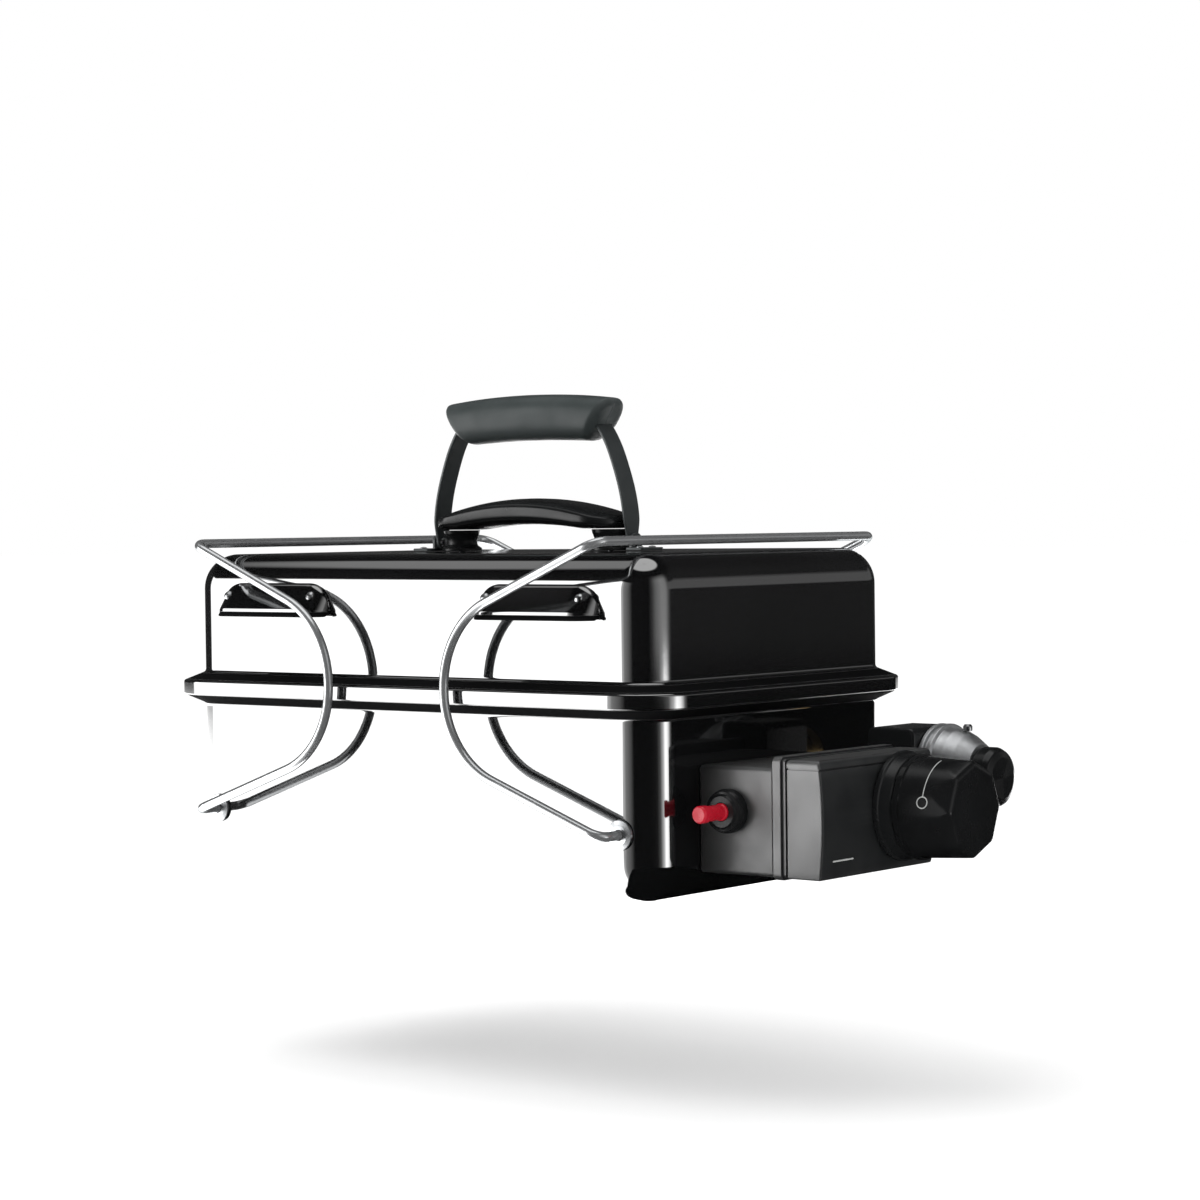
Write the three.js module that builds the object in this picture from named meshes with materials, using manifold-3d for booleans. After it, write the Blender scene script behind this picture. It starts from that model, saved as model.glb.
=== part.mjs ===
// A portable tabletop gas grill, folded for carrying: two enamelled tubs that meet at a rim, wire legs
// swung up over the lid, a lid handle, a carrying bail, and the gas control unit on the right end.
// Millimetres. +Z is up, +X points to the control end, -Y is the front. The origin is the centre of the
// bowl's flat bottom.
import * as THREE from "three";
import { mergeVertices } from "three/addons/utils/BufferGeometryUtils.js";
import Module from "manifold-3d";

const wasm = await Module();
wasm.setup();

// ---- driving dimensions ----
const WALL_X = 210; // half length of both tubs, outside
const WALL_Y = 136.5; // half width of both tubs, outside
const CORNER = 25; // radius of the tubs' upright corners
const FILLET = 24.5; // radius round the lid's top and the bowl's bottom
const SHEET = 1.6; // pressed steel
const LID_TOP = 226;
const LID_PARTING = 216; // the lid's crown and its walls are two solids that part here
const AIR_SLOT = { x: 95, wide: 20, long: 64 }; // openings in the bowl's bottom, left and right

const RIM_OUT = 15.8; // how far the lid's skirt stands out from the wall
const RIM_LOW = 126.4; // lower edge of the skirt
const RIM_HIGH = 136; // upper edge of the skirt
const RIM_RISE = 6.2; // height of the slope between skirt and wall
const BOWL_RIM_OUT = 13.4; // the bowl's upturned rim stands inside the skirt
const BOWL_RIM_TOP = 134.4;
const BOWL_SLOPE_LOW = 119.4;
const BOWL_SLOPE_RISE = 5.9;

const WIRE = 3.2; // radius of the leg wire
const LEG_X = 183; // leg pivots, left and right of the middle
const LEG_Z = 45;
const LEG_TOP = 234; // height of the crossbar that lies over the lid
const LEG_PLANE = 159; // the bows stand this far in front of and behind the middle
const BOW_X = 52.7; // the bows reach in to here
const BOW_RADIUS = 62;
const BOW_SLOPE_LOW = 20; // degrees, the straight stretch at the pivot
const BOW_SLOPE_HIGH = 23; // degrees, the straight stretch at the crossbar

const HOOD_X = 121; // middle of each vent hood
const HOOD_HALF = 54;
const HOOD_LOW = 185;
const HOOD_HIGH = 206;
const HOOD_DEPTH = 15;

const HANDLE_HALF = 81; // lid handle, half length
const HANDLE_WIDE = 25; // lid handle, half width
const HANDLE_TOP = 263.5;
const POST_X = 69;

const BAIL_X = 88; // the straps of the carrying bail at their pivots
const BAIL_Z = 232.5; // pivot height
const STRAP_WIDE = 17;
const STRAP_THICK = 2.6;
const STRAP_TAPER = 18; // the strap narrows to its eye over this height
const GRIP_LOW = 303;
const GRIP_HIGH = 337;

const BOX_FRONT = -88; // control box and valve housing
const BOX_BACK = 42;
const BOX_LOW = 18;
const BOX_HIGH = 88;
const BOX_END = 268;
const FLANGE_END = 277.5;
const HOUSING_END = 307;
const KNOB_Y = 3;
const KNOB_Z = 59;
const KNOB_START = 320.5;
const KNOB_END = 363;
const IGNITER_X = 234.5;
const IGNITER_Z = 59.3;
const REGULATOR_Y = 74.5;
const REGULATOR_Z = 77;

const GRATE_X = 199; // cooking grate, half length and half width over its frame
const GRATE_Y = 123;
const GRATE_Z = 119.6;
const BURNER_Z = 45;
const BURNER_RADIUS = 11;
const SPARK_Y = -30; // the electrode and its lead run along X here
const SPARK_Z = 40;
const INLET_X = 271; // gas inlet behind the control box, on the cylinder socket's axis
const INLET_Z = 82;
const INLET_END = 96;
const GAP = 0.3;

// ---- materials ----
const finish = (color, roughness, metalness) =>
  new THREE.MeshStandardMaterial({ color, roughness, metalness });
const enamel = finish(0x0b0c0d, 0.08, 0);
const chrome = finish(0xd6d8da, 0.12, 1);
const blackPlastic = finish(0x17191a, 0.45, 0);
const greyPlastic = finish(0x4a5252, 0.6, 0);
const boxPaint = finish(0x2b2e30, 0.5, 0.1);
const knobPlastic = finish(0x0e0f10, 0.25, 0);
const redPlastic = finish(0xb01525, 0.3, 0);
const castMetal = finish(0xb4b7ba, 0.4, 1);
const brass = finish(0xb8964a, 0.35, 1);
const steel = finish(0x9a9da0, 0.35, 1);
const strapPaint = finish(0x26292a, 0.4, 0.2);
const ceramic = finish(0xe6e2d8, 0.3, 0);
const leadRubber = finish(0x8f1c1c, 0.7, 0);

// ---- solids ----
// A closed geometry as a manifold-3d solid.
function solidOf(geometry) {
  const bare = geometry.clone();
  bare.deleteAttribute("normal");
  bare.deleteAttribute("uv");
  const merged = mergeVertices(bare, 1e-4);
  return new wasm.Manifold(
    new wasm.Mesh({
      numProp: 3,
      vertProperties: new Float32Array(merged.attributes.position.array),
      triVerts: new Uint32Array(merged.index.array),
    }),
  );
}

function geometryOf(solid) {
  const mesh = solid.getMesh();
  const geometry = new THREE.BufferGeometry();
  geometry.setAttribute("position", new THREE.BufferAttribute(mesh.vertProperties, 3));
  geometry.setIndex(new THREE.BufferAttribute(mesh.triVerts, 1));
  geometry.computeVertexNormals();
  return geometry;
}

const join = (solids) => solids.reduce((sum, next) => sum.add(next));
const cutAll = (solid, tools) => tools.reduce((rest, tool) => rest.subtract(tool), solid);

// A box between two corners.
function block([x0, y0, z0], [x1, y1, z1]) {
  const geometry = new THREE.BoxGeometry(x1 - x0, y1 - y0, z1 - z0);
  geometry.translate((x0 + x1) / 2, (y0 + y1) / 2, (z0 + z1) / 2);
  return solidOf(geometry);
}

const AXIS_TURN = {
  X: new THREE.Matrix4().makeBasis(
    new THREE.Vector3(0, 1, 0),
    new THREE.Vector3(1, 0, 0),
    new THREE.Vector3(0, 0, -1),
  ),
  Y: new THREE.Matrix4(),
  Z: new THREE.Matrix4().makeRotationX(Math.PI / 2),
};

// A turned piece: profile [radius, along] runs up the axis, which passes through the centre given.
function turned(profile, axis, [x, y, z], segments = 24) {
  const points = profile.map(([radius, along]) => new THREE.Vector2(radius, along));
  const geometry = new THREE.LatheGeometry(points, segments);
  geometry.applyMatrix4(AXIS_TURN[axis]);
  geometry.translate(x, y, z);
  return solidOf(geometry);
}

// A plain round bar along an axis, from one place on it to another.
const rod = (radius, from, to, axis, centre, segments = 16) =>
  turned([[0, from], [radius, from], [radius, to], [0, to]], axis, centre, segments);

// A ring along an axis.
const ring = (inner, outer, from, to, axis, centre, segments = 24) =>
  turned(
    [[inner, from], [outer, from], [outer, to], [inner, to], [inner, from]],
    axis,
    centre,
    segments,
  );

function roundedOutline(halfX, halfY, radius, middleX = 0, middleY = 0) {
  const shape = new THREE.Shape();
  const corners = [[1, -1], [1, 1], [-1, 1], [-1, -1]];
  corners.forEach(([sideX, sideY], index) => {
    const start = ((index - 1) * Math.PI) / 2;
    shape.absarc(
      middleX + sideX * (halfX - radius),
      middleY + sideY * (halfY - radius),
      radius,
      start,
      start + Math.PI / 2,
    );
  });
  shape.closePath();
  return shape;
}

// Extrusions of an outline along Z, along Y (outline in X and Z) and along X (outline in Y and Z). A bevel
// keeps the overall size of the outline that is given smaller by the bevel.
function extrude(shape, from, to, { axis = "Z", bevel = 0, rise = bevel, steps = 3, curve = 6 } = {}) {
  const geometry = new THREE.ExtrudeGeometry(shape, {
    depth: to - from - 2 * rise,
    bevelEnabled: bevel > 0,
    bevelSize: bevel,
    bevelThickness: rise,
    bevelSegments: steps,
    curveSegments: curve,
  });
  geometry.translate(0, 0, bevel > 0 ? rise : 0);
  if (axis === "Z") geometry.translate(0, 0, from);
  if (axis === "Y") {
    geometry.rotateX(Math.PI / 2);
    geometry.translate(0, to, 0);
  }
  if (axis === "X") {
    const turn = new THREE.Matrix4().makeBasis(
      new THREE.Vector3(0, 1, 0),
      new THREE.Vector3(0, 0, 1),
      new THREE.Vector3(1, 0, 0),
    );
    geometry.applyMatrix4(turn);
    geometry.translate(from, 0, 0);
  }
  return solidOf(geometry);
}

// A path that goes exactly through its points, so that straight stretches need no steps between bends.
class BentPath extends THREE.Curve {
  constructor(points) {
    super();
    this.points = points;
  }
  getUtoTmapping(u) {
    return u;
  }
  getPoint(t, target = new THREE.Vector3()) {
    const place = Math.min(Math.max(t, 0), 1) * (this.points.length - 1);
    const index = Math.min(Math.floor(place), this.points.length - 2);
    return target.lerpVectors(this.points[index], this.points[index + 1], place - index);
  }
  getTangent(t, target = new THREE.Vector3()) {
    const last = this.points.length - 1;
    const index = Math.round(t * last);
    const here = this.points[index];
    const before = index > 0 ? here.clone().sub(this.points[index - 1]).normalize() : new THREE.Vector3();
    const after = index < last ? this.points[index + 1].clone().sub(here).normalize() : new THREE.Vector3();
    return target.addVectors(before, after).normalize();
  }
}

// Points of a polyline whose inner corners are rounded: corners are [x, y, z, radius].
function bentPoints(corners, degreesPerStep = 18) {
  const places = corners.map(([x, y, z]) => new THREE.Vector3(x, y, z));
  const points = [places[0]];
  for (let i = 1; i < places.length - 1; i++) {
    const corner = places[i];
    const back = places[i - 1].clone().sub(corner).normalize();
    const onward = places[i + 1].clone().sub(corner).normalize();
    const opening = back.angleTo(onward);
    const radius = corners[i][3];
    const reach = radius / Math.tan(opening / 2);
    const centre = corner.clone().addScaledVector(
      back.clone().add(onward).normalize(),
      radius / Math.sin(opening / 2),
    );
    const start = corner.clone().addScaledVector(back, reach).sub(centre);
    const turn = Math.PI - opening;
    const axis = back.clone().cross(onward).normalize();
    const steps = Math.max(2, Math.ceil(THREE.MathUtils.radToDeg(turn) / degreesPerStep));
    for (let k = 0; k <= steps; k++) {
      points.push(start.clone().applyAxisAngle(axis, (-turn * k) / steps).add(centre));
    }
  }
  points.push(places[places.length - 1]);
  return points;
}

// A round bar bent along points.
function bentBar(points, radius, sides = 6) {
  const section = new THREE.Shape();
  for (let i = 0; i < sides; i++) {
    const angle = (2 * Math.PI * i) / sides;
    const place = [radius * Math.cos(angle), radius * Math.sin(angle)];
    if (i === 0) section.moveTo(...place);
    else section.lineTo(...place);
  }
  section.closePath();
  const geometry = new THREE.ExtrudeGeometry(section, {
    steps: points.length - 1,
    extrudePath: new BentPath(points),
  });
  return solidOf(geometry);
}

// ---- tubs ----
// A block with the tubs' plan, grown outwards, with bevelled ends.
function tubBlock(grow, from, to, bevel, rise, steps) {
  const outline = roundedOutline(
    WALL_X + grow - bevel,
    WALL_Y + grow - bevel,
    Math.max(CORNER + grow - bevel, 0.4),
  );
  return extrude(outline, from, to, { bevel, rise, steps, curve: 5 });
}

function everythingBetween(low, high) {
  const reach = 400;
  return block([-reach, -reach, low], [reach, reach, high]);
}

function makeBowl() {
  const outer = tubBlock(0, 0, 190, FILLET, FILLET, 4);
  const inner = tubBlock(-SHEET, SHEET, 190, FILLET - SHEET, FILLET - SHEET, 4);
  const rim = tubBlock(BOWL_RIM_OUT, BOWL_SLOPE_LOW, 170, BOWL_RIM_OUT, BOWL_SLOPE_RISE, 1);
  const rimInside = tubBlock(
    BOWL_RIM_OUT - SHEET,
    BOWL_SLOPE_LOW + 1,
    172,
    BOWL_RIM_OUT,
    BOWL_SLOPE_RISE,
    1,
  );
  const whole = outer.add(rim).intersect(everythingBetween(-1, BOWL_RIM_TOP));
  const holes = [
    rod(BURNER_RADIUS + 1, WALL_X - 12, WALL_X + 4, "X", [0, 0, BURNER_Z], 20),
    rod(3.2, WALL_X - 12, WALL_X + 4, "X", [0, SPARK_Y, SPARK_Z], 10),
  ];
  for (const side of [-1, 1]) {
    const middle = side * AIR_SLOT.x;
    const low = [middle - AIR_SLOT.wide / 2, -AIR_SLOT.long / 2, -4];
    const high = [middle + AIR_SLOT.wide / 2, AIR_SLOT.long / 2, 8];
    holes.push(rod(WIRE + 0.6, -WALL_Y - 4, WALL_Y + 4, "Y", [side * LEG_X, 0, LEG_Z], 16));
    holes.push(block(low, high));
  }
  return cutAll(whole, [inner, rimInside, ...holes]);
}

// The lid is one pressing. It is two solids, a crown and its walls with the skirt, so that each keeps its
// hollow open in collision.
function makeLid() {
  const outer = tubBlock(0, 30, LID_TOP, FILLET, FILLET, 4);
  const inner = tubBlock(-SHEET, 28, LID_TOP - SHEET, FILLET - SHEET, FILLET - SHEET, 4);
  const rimTop = RIM_HIGH + RIM_RISE;
  const rim = tubBlock(RIM_OUT, 100, rimTop, RIM_OUT, RIM_RISE, 1);
  const rimInside = tubBlock(RIM_OUT - SHEET, 98, rimTop - 1.4, RIM_OUT, RIM_RISE, 1);
  const whole = outer.add(rim).intersect(everythingBetween(RIM_LOW, LID_TOP + 1));
  const holes = [];
  for (const side of [-1, 1]) {
    const slot = roundedOutline(40, 4, 3.9, side * HOOD_X, 194);
    holes.push(extrude(slot, -WALL_Y - 4, -WALL_Y + 6, { axis: "Y" }));
    holes.push(rod(2.9, LID_TOP - 6, LID_TOP + 4, "Z", [side * POST_X, 0, 0], 12));
  }
  const shell = cutAll(whole, [inner, rimInside, ...holes]);
  return {
    walls: shell.intersect(everythingBetween(0, LID_PARTING - GAP / 2)),
    crown: shell.intersect(everythingBetween(LID_PARTING + GAP / 2, LID_TOP + 1)),
  };
}

// A scoop over a vent slot: round-cornered from the front, quarter-round from the side, open below.
function makeHood(side) {
  const scoop = (inset, drop) => {
    const half = HOOD_HALF - inset;
    const high = HOOD_HIGH - inset;
    const low = HOOD_LOW - drop;
    const front = new THREE.Shape();
    front.moveTo(side * HOOD_X - half, low);
    front.lineTo(side * HOOD_X + half, low);
    front.absarc(side * HOOD_X + half - 14, high - 14, 14, 0, Math.PI / 2);
    front.absarc(side * HOOD_X - half + 14, high - 14, 14, Math.PI / 2, Math.PI);
    front.closePath();
    const profile = new THREE.Shape();
    const wall = -WALL_Y - GAP + drop;
    profile.moveTo(wall, low);
    profile.lineTo(wall, high);
    profile.absellipse(wall, low, HOOD_DEPTH - inset + drop, high - low, Math.PI / 2, Math.PI);
    profile.closePath();
    const across = extrude(profile, side * HOOD_X - half - 1, side * HOOD_X + half + 1, { axis: "X" });
    return across.intersect(extrude(front, -WALL_Y - 30, -WALL_Y + 10, { axis: "Y", curve: 5 }));
  };
  return scoop(0, 0).subtract(scoop(1.3, 3));
}

// A domed head that sits on the hood's slope.
function makeHoodRivet(x) {
  const tilt = 38; // degrees above the front
  const standOff = 13.1;
  const height = 199.4;
  const profile = [[0, 0], [3.2, 0], [3, 1], [1.8, 1.9], [0, 2.2]];
  const head = turned(profile, "Y", [0, 0, 0], 12);
  return head.rotate([180 - tilt, 0, 0]).translate([x, -WALL_Y - standOff, height]);
}

// ---- lid handle ----
function makeLidHandle() {
  const edge = 4.5; // rounding of the long edges
  const under = 241.6 + edge; // flat seats for the posts, with the finger gap between them
  const half = HANDLE_HALF - edge;
  const sag = 12;
  const radius = (half * half + sag * sag) / (2 * sag);
  const centreZ = HANDLE_TOP - edge - radius;
  const reach = Math.asin(half / radius);
  const side = new THREE.Shape();
  side.absarc(0, centreZ, radius, Math.PI / 2 - reach, Math.PI / 2 + reach);
  side.lineTo(-half + 0.5, under);
  side.lineTo(-54, under);
  side.quadraticCurveTo(0, under + 7, 54, under);
  side.lineTo(half - 0.5, under);
  side.closePath();
  const arch = extrude(side, -HANDLE_WIDE, HANDLE_WIDE, { axis: "Y", bevel: edge, steps: 3, curve: 10 });
  const plan = roundedOutline(HANDLE_HALF, HANDLE_WIDE, 20);
  return arch.intersect(extrude(plan, 200, 280));
}

function makeHandlePost(side) {
  const foot = LID_TOP + GAP;
  const seat = 241.2;
  const profile = [
    [2.6, foot], [14.5, foot], [14.5, foot + 2], [11.6, foot + 4], [11, foot + 7],
    [13, seat - 3], [13.4, seat], [2.6, seat], [2.6, foot],
  ];
  return turned(profile, "Z", [side * POST_X, 0, 0], 16);
}

function makeHandleScrew(side) {
  const under = LID_TOP - SHEET - GAP;
  const profile = [[0, under - 2.6], [4.4, under - 2.2], [4.8, under], [2.1, under], [2.1, 239], [0, 239]];
  return turned(profile, "Z", [side * POST_X, 0, 0], 14);
}

// ---- carrying bail ----
// The strap's middle line on the right half, from the pivot up into the grip.
const STRAP_LINE = new THREE.SplineCurve([
  new THREE.Vector2(BAIL_X, BAIL_Z),
  new THREE.Vector2(BAIL_X - 0.4, 246),
  new THREE.Vector2(85.5, 262),
  new THREE.Vector2(80.5, 280),
  new THREE.Vector2(71.5, 302),
  new THREE.Vector2(60, 316.5),
  new THREE.Vector2(40, 321.5),
  new THREE.Vector2(0, 322),
]);

function strapOutline(thick) {
  const right = STRAP_LINE.getPoints(13);
  const left = right.slice(0, -1).reverse().map((p) => new THREE.Vector2(-p.x, p.y));
  const line = [...right, ...left];
  const offset = (amount) =>
    line.map((point, i) => {
      const ahead = line[Math.min(i + 1, line.length - 1)];
      const behind = line[Math.max(i - 1, 0)];
      const run = ahead.clone().sub(behind).normalize();
      return new THREE.Vector2(point.x + run.y * amount, point.y - run.x * amount);
    });
  return new THREE.Shape([...offset(thick / 2), ...offset(-thick / 2).reverse()]);
}

// A flat strap that narrows to a round eye at each pivot, so that it clears the lid when it lies down.
function makeStrap() {
  const half = STRAP_WIDE / 2;
  const eye = half - 3;
  const side = new THREE.Shape();
  side.moveTo(-eye, BAIL_Z - 1);
  side.lineTo(eye, BAIL_Z - 1);
  side.lineTo(half, BAIL_Z + STRAP_TAPER);
  side.lineTo(half, GRIP_HIGH);
  side.lineTo(-half, GRIP_HIGH);
  side.lineTo(-half, BAIL_Z + STRAP_TAPER);
  side.closePath();
  const bent = extrude(strapOutline(STRAP_THICK), -half, half, { axis: "Y" });
  const strip = bent.intersect(extrude(side, -BAIL_X - 5, BAIL_X + 5, { axis: "X" }));
  const eyes = [];
  const holes = [];
  for (const side of [-1, 1]) {
    const middle = side * BAIL_X;
    const centre = [0, 0, BAIL_Z];
    eyes.push(rod(eye, middle - STRAP_THICK / 2, middle + STRAP_THICK / 2, "X", centre, 20));
    holes.push(rod(2.9, middle - 4, middle + 4, "X", centre, 14));
  }
  return cutAll(join([strip, ...eyes]), holes);
}

function makeGripHalf(front) {
  const edge = 8; // rounding of the grip
  const outline = new THREE.Shape();
  outline.moveTo(-50, GRIP_LOW + edge);
  outline.quadraticCurveTo(0, GRIP_LOW + edge + 3, 50, GRIP_LOW + edge);
  outline.lineTo(71, GRIP_HIGH - edge - 4);
  outline.quadraticCurveTo(0, GRIP_HIGH - edge + 4, -71, GRIP_HIGH - edge - 4);
  outline.closePath();
  const whole = extrude(outline, -17, 17, { axis: "Y", bevel: edge, steps: 4, curve: 8 });
  const channel = extrude(strapOutline(STRAP_THICK + 0.7), -8.9, 8.9, { axis: "Y" });
  const kept = front
    ? block([-100, -20, 290], [100, -0.15, 345])
    : block([-100, 0.15, 290], [100, 20, 345]);
  return whole.intersect(kept).subtract(channel);
}

// A bracket on the lid, outside the strap: a foot plate and an upright tab with a hole for the pin.
function makeBailBracket(side) {
  const tab = BAIL_X + STRAP_THICK / 2 + 0.9;
  const span = (x0, x1) => [Math.min(side * x0, side * x1), Math.max(side * x0, side * x1)];
  const [footA, footB] = span(tab, tab + 17);
  const [tabA, tabB] = span(tab, tab + 2);
  const foot = block([footA, -12, LID_TOP + GAP], [footB, 12, LID_TOP + GAP + 2]);
  const upright = block([tabA, -6, LID_TOP + GAP], [tabB, 6, BAIL_Z]);
  const crown = rod(6, tabA, tabB, "X", [0, 0, BAIL_Z], 20);
  const hole = rod(2.9, tabA - 2, tabB + 2, "X", [0, 0, BAIL_Z], 14);
  return join([foot, upright, crown]).subtract(hole);
}

function makeBailPin(side) {
  const inner = BAIL_X - STRAP_THICK / 2 - GAP;
  const outer = BAIL_X + STRAP_THICK / 2 + 0.9 + 2 + GAP;
  const profile = [
    [0, inner - 1.6], [3.6, inner - 1.4], [3.9, inner], [2.5, inner], [2.5, outer],
    [3.9, outer], [3.6, outer + 1.4], [0, outer + 1.6],
  ];
  const pin = turned(profile, "X", [0, 0, BAIL_Z], 14);
  return side > 0 ? pin : pin.rotate([0, 0, 180]);
}

// ---- legs ----
const tanDeg = (degrees) => Math.tan(THREE.MathUtils.degToRad(degrees));

// One wire: pin, front bow, crossbar over the lid, back bow, pin.
function makeLeg(side) {
  const run = LEG_X - BOW_X;
  const lowCorner = LEG_Z + run * tanDeg(BOW_SLOPE_LOW);
  const highCorner = LEG_TOP - run * tanDeg(BOW_SLOPE_HIGH);
  const half = (end) => [
    [side * LEG_X, end * (WALL_Y - 10), LEG_Z],
    [side * LEG_X, end * LEG_PLANE, LEG_Z, 9],
    [side * BOW_X, end * LEG_PLANE, lowCorner, BOW_RADIUS],
    [side * BOW_X, end * LEG_PLANE, highCorner, BOW_RADIUS],
    [side * LEG_X, end * LEG_PLANE, LEG_TOP, 11],
  ];
  return bentBar(bentPoints([...half(-1), ...half(1).reverse()]), WIRE);
}

const makeLegWasher = (side, end) =>
  ring(
    WIRE + 0.5,
    10,
    end > 0 ? WALL_Y + GAP : -WALL_Y - GAP - 1.6,
    end > 0 ? WALL_Y + GAP + 1.6 : -WALL_Y - GAP,
    "Y",
    [side * LEG_X, 0, LEG_Z],
  );

const makeLegCap = (side, end) =>
  ring(
    WIRE + 0.3,
    7,
    end > 0 ? WALL_Y - SHEET - 4 : -WALL_Y + SHEET + 1,
    end > 0 ? WALL_Y - SHEET - 1 : -WALL_Y + SHEET + 4,
    "Y",
    [side * LEG_X, 0, LEG_Z],
    16,
  );

// ---- inside the bowl ----
// A stepped sheet inside each end wall: the low shelf carries the heat bar, the high one the grate.
function makeEndLedge(side) {
  const face = WALL_X - SHEET - GAP;
  const plate = (y, z0, z1, inner) => {
    const [x0, x1] = side > 0 ? [inner, face] : [-face, -inner];
    return block([x0, -y, z0], [x1, y, z1]);
  };
  return join([
    plate(42, 70, 114.6, face - 1.5),
    plate(100, 98, 116, face - 1.5),
    plate(42, 68.5, 70, face - 14),
    plate(100, 114.5, 116, face - 14),
  ]);
}

function makeGrate() {
  const frameWire = 3;
  const barWire = 2.4;
  const pitch = 18.4;
  const bars = [];
  const corners = [[1, -1], [1, 1], [-1, 1], [-1, -1]];
  const inX = GRATE_X - frameWire;
  const inY = GRATE_Y - frameWire;
  for (const end of [-1, 1]) {
    bars.push(rod(frameWire, -inX, inX, "X", [0, end * inY, GRATE_Z], 6));
    bars.push(rod(frameWire, -inY, inY, "Y", [end * inX, 0, GRATE_Z], 6));
  }
  for (const [sideX, sideY] of corners) {
    const knuckle = new THREE.SphereGeometry(frameWire + 0.4, 6, 4);
    knuckle.translate(sideX * inX, sideY * inY, GRATE_Z);
    bars.push(solidOf(knuckle));
  }
  for (let x = -10 * pitch; x <= 10.5 * pitch; x += pitch) {
    bars.push(rod(barWire, -inY, inY, "Y", [x, 0, GRATE_Z + 0.9], 4));
  }
  return join(bars);
}

// A folded sheet, roof-shaped, that keeps drips off the burner.
function makeHeatBar() {
  const half = 34;
  const foot = 70.4;
  const ridge = 88;
  const roof = new THREE.Shape();
  roof.moveTo(-half, foot);
  roof.lineTo(-half, foot + 1.5);
  roof.lineTo(0, ridge);
  roof.lineTo(half, foot + 1.5);
  roof.lineTo(half, foot);
  roof.lineTo(0, ridge - 1.7);
  roof.closePath();
  return extrude(roof, -WALL_X + 6, WALL_X - 6, { axis: "X" });
}

function makeBurnerTube() {
  const left = -WALL_X + 22;
  const right = WALL_X + 26;
  const profile = [
    [0, left], [BURNER_RADIUS - 2, left], [BURNER_RADIUS, left + 2], [BURNER_RADIUS, right],
    [BURNER_RADIUS - 1.2, right], [BURNER_RADIUS - 1.2, left + 3], [0, left + 3],
  ];
  const tube = turned(profile, "X", [0, 0, BURNER_Z], 20);
  const ports = [];
  for (let x = -168; x <= 140; x += 42) {
    ports.push(block([x, -20, BURNER_Z + 2], [x + 32, 20, BURNER_Z + 3.4]));
  }
  return cutAll(tube, ports);
}

function makeBurnerBracket() {
  const x = -WALL_X + 33;
  const half = 16;
  const sheet = 1.5;
  const low = SHEET + GAP;
  const foot = block([x, -half, low], [x + 22, half, low + sheet]);
  const upright = block([x, -half, low], [x + sheet, half, BURNER_Z + half]);
  const hole = rod(BURNER_RADIUS + 0.4, x - 2, x + 4, "X", [0, 0, BURNER_Z], 20);
  return foot.add(upright).subtract(hole);
}

// ---- ignition ----
const makeElectrode = () =>
  turned(
    [[0, 176], [2.2, 176], [3, 178], [3, 192], [4.4, 193], [4.4, 198], [2.4, 199], [2.4, 206], [0, 206]],
    "X",
    [0, SPARK_Y, SPARK_Z],
    12,
  );

// A thin wire that bends towards the burner.
function makeElectrodePin() {
  const corners = [
    [175.6, SPARK_Y, SPARK_Z],
    [162, SPARK_Y, SPARK_Z, 4],
    [156, SPARK_Y + 12, BURNER_Z],
  ];
  return bentBar(bentPoints(corners, 30), 0.9, 6);
}

function makeIgniterBody() {
  const profile = [
    [6.2, BOX_FRONT + 3], [10.5, BOX_FRONT + 3], [10.5, BOX_FRONT + 40], [0, BOX_FRONT + 40],
    [0, BOX_FRONT + 37.6], [6.2, BOX_FRONT + 37.6], [6.2, BOX_FRONT + 3],
  ];
  return turned(profile, "Y", [IGNITER_X, 0, IGNITER_Z], 20);
}

function makeIgniterCollar() {
  const profile = [
    [6.2, BOX_FRONT - 10], [11, BOX_FRONT - 10], [14.2, BOX_FRONT - 7.5], [14.4, BOX_FRONT - GAP],
    [6.2, BOX_FRONT - GAP], [6.2, BOX_FRONT - 10],
  ];
  return turned(profile, "Y", [IGNITER_X, 0, IGNITER_Z], 24);
}

function makeIgniterButton() {
  const tip = BOX_FRONT - 34;
  const profile = [
    [0, tip], [4.9, tip], [5.7, tip + 1], [5.7, BOX_FRONT + 14], [5.1, BOX_FRONT + 14], [5.1, BOX_FRONT],
    [0, BOX_FRONT],
  ];
  return turned(profile, "Y", [IGNITER_X, 0, IGNITER_Z], 20);
}

function makeIgniterSpring() {
  const turns = 4;
  const perTurn = 8;
  const coil = 4;
  const from = BOX_FRONT + 7;
  const to = BOX_FRONT + 36.4;
  const points = [];
  for (let i = 0; i <= turns * perTurn; i++) {
    const angle = (2 * Math.PI * i) / perTurn;
    const along = from + ((to - from) * i) / (turns * perTurn);
    points.push(
      new THREE.Vector3(IGNITER_X + coil * Math.cos(angle), along, IGNITER_Z + coil * Math.sin(angle)),
    );
  }
  return bentBar(points, 0.6, 4);
}

// The lead runs from the igniter's back end through the box to the electrode, clipped all the way.
function makeIgniterLead() {
  const corners = [
    [IGNITER_X, BOX_FRONT + 40.6, IGNITER_Z],
    [IGNITER_X, SPARK_Y - 6, IGNITER_Z, 6],
    [IGNITER_X, SPARK_Y, SPARK_Z, 8],
    [WALL_X - 3.5, SPARK_Y, SPARK_Z],
  ];
  return bentBar(bentPoints(corners, 30), 1.5, 6);
}

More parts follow.
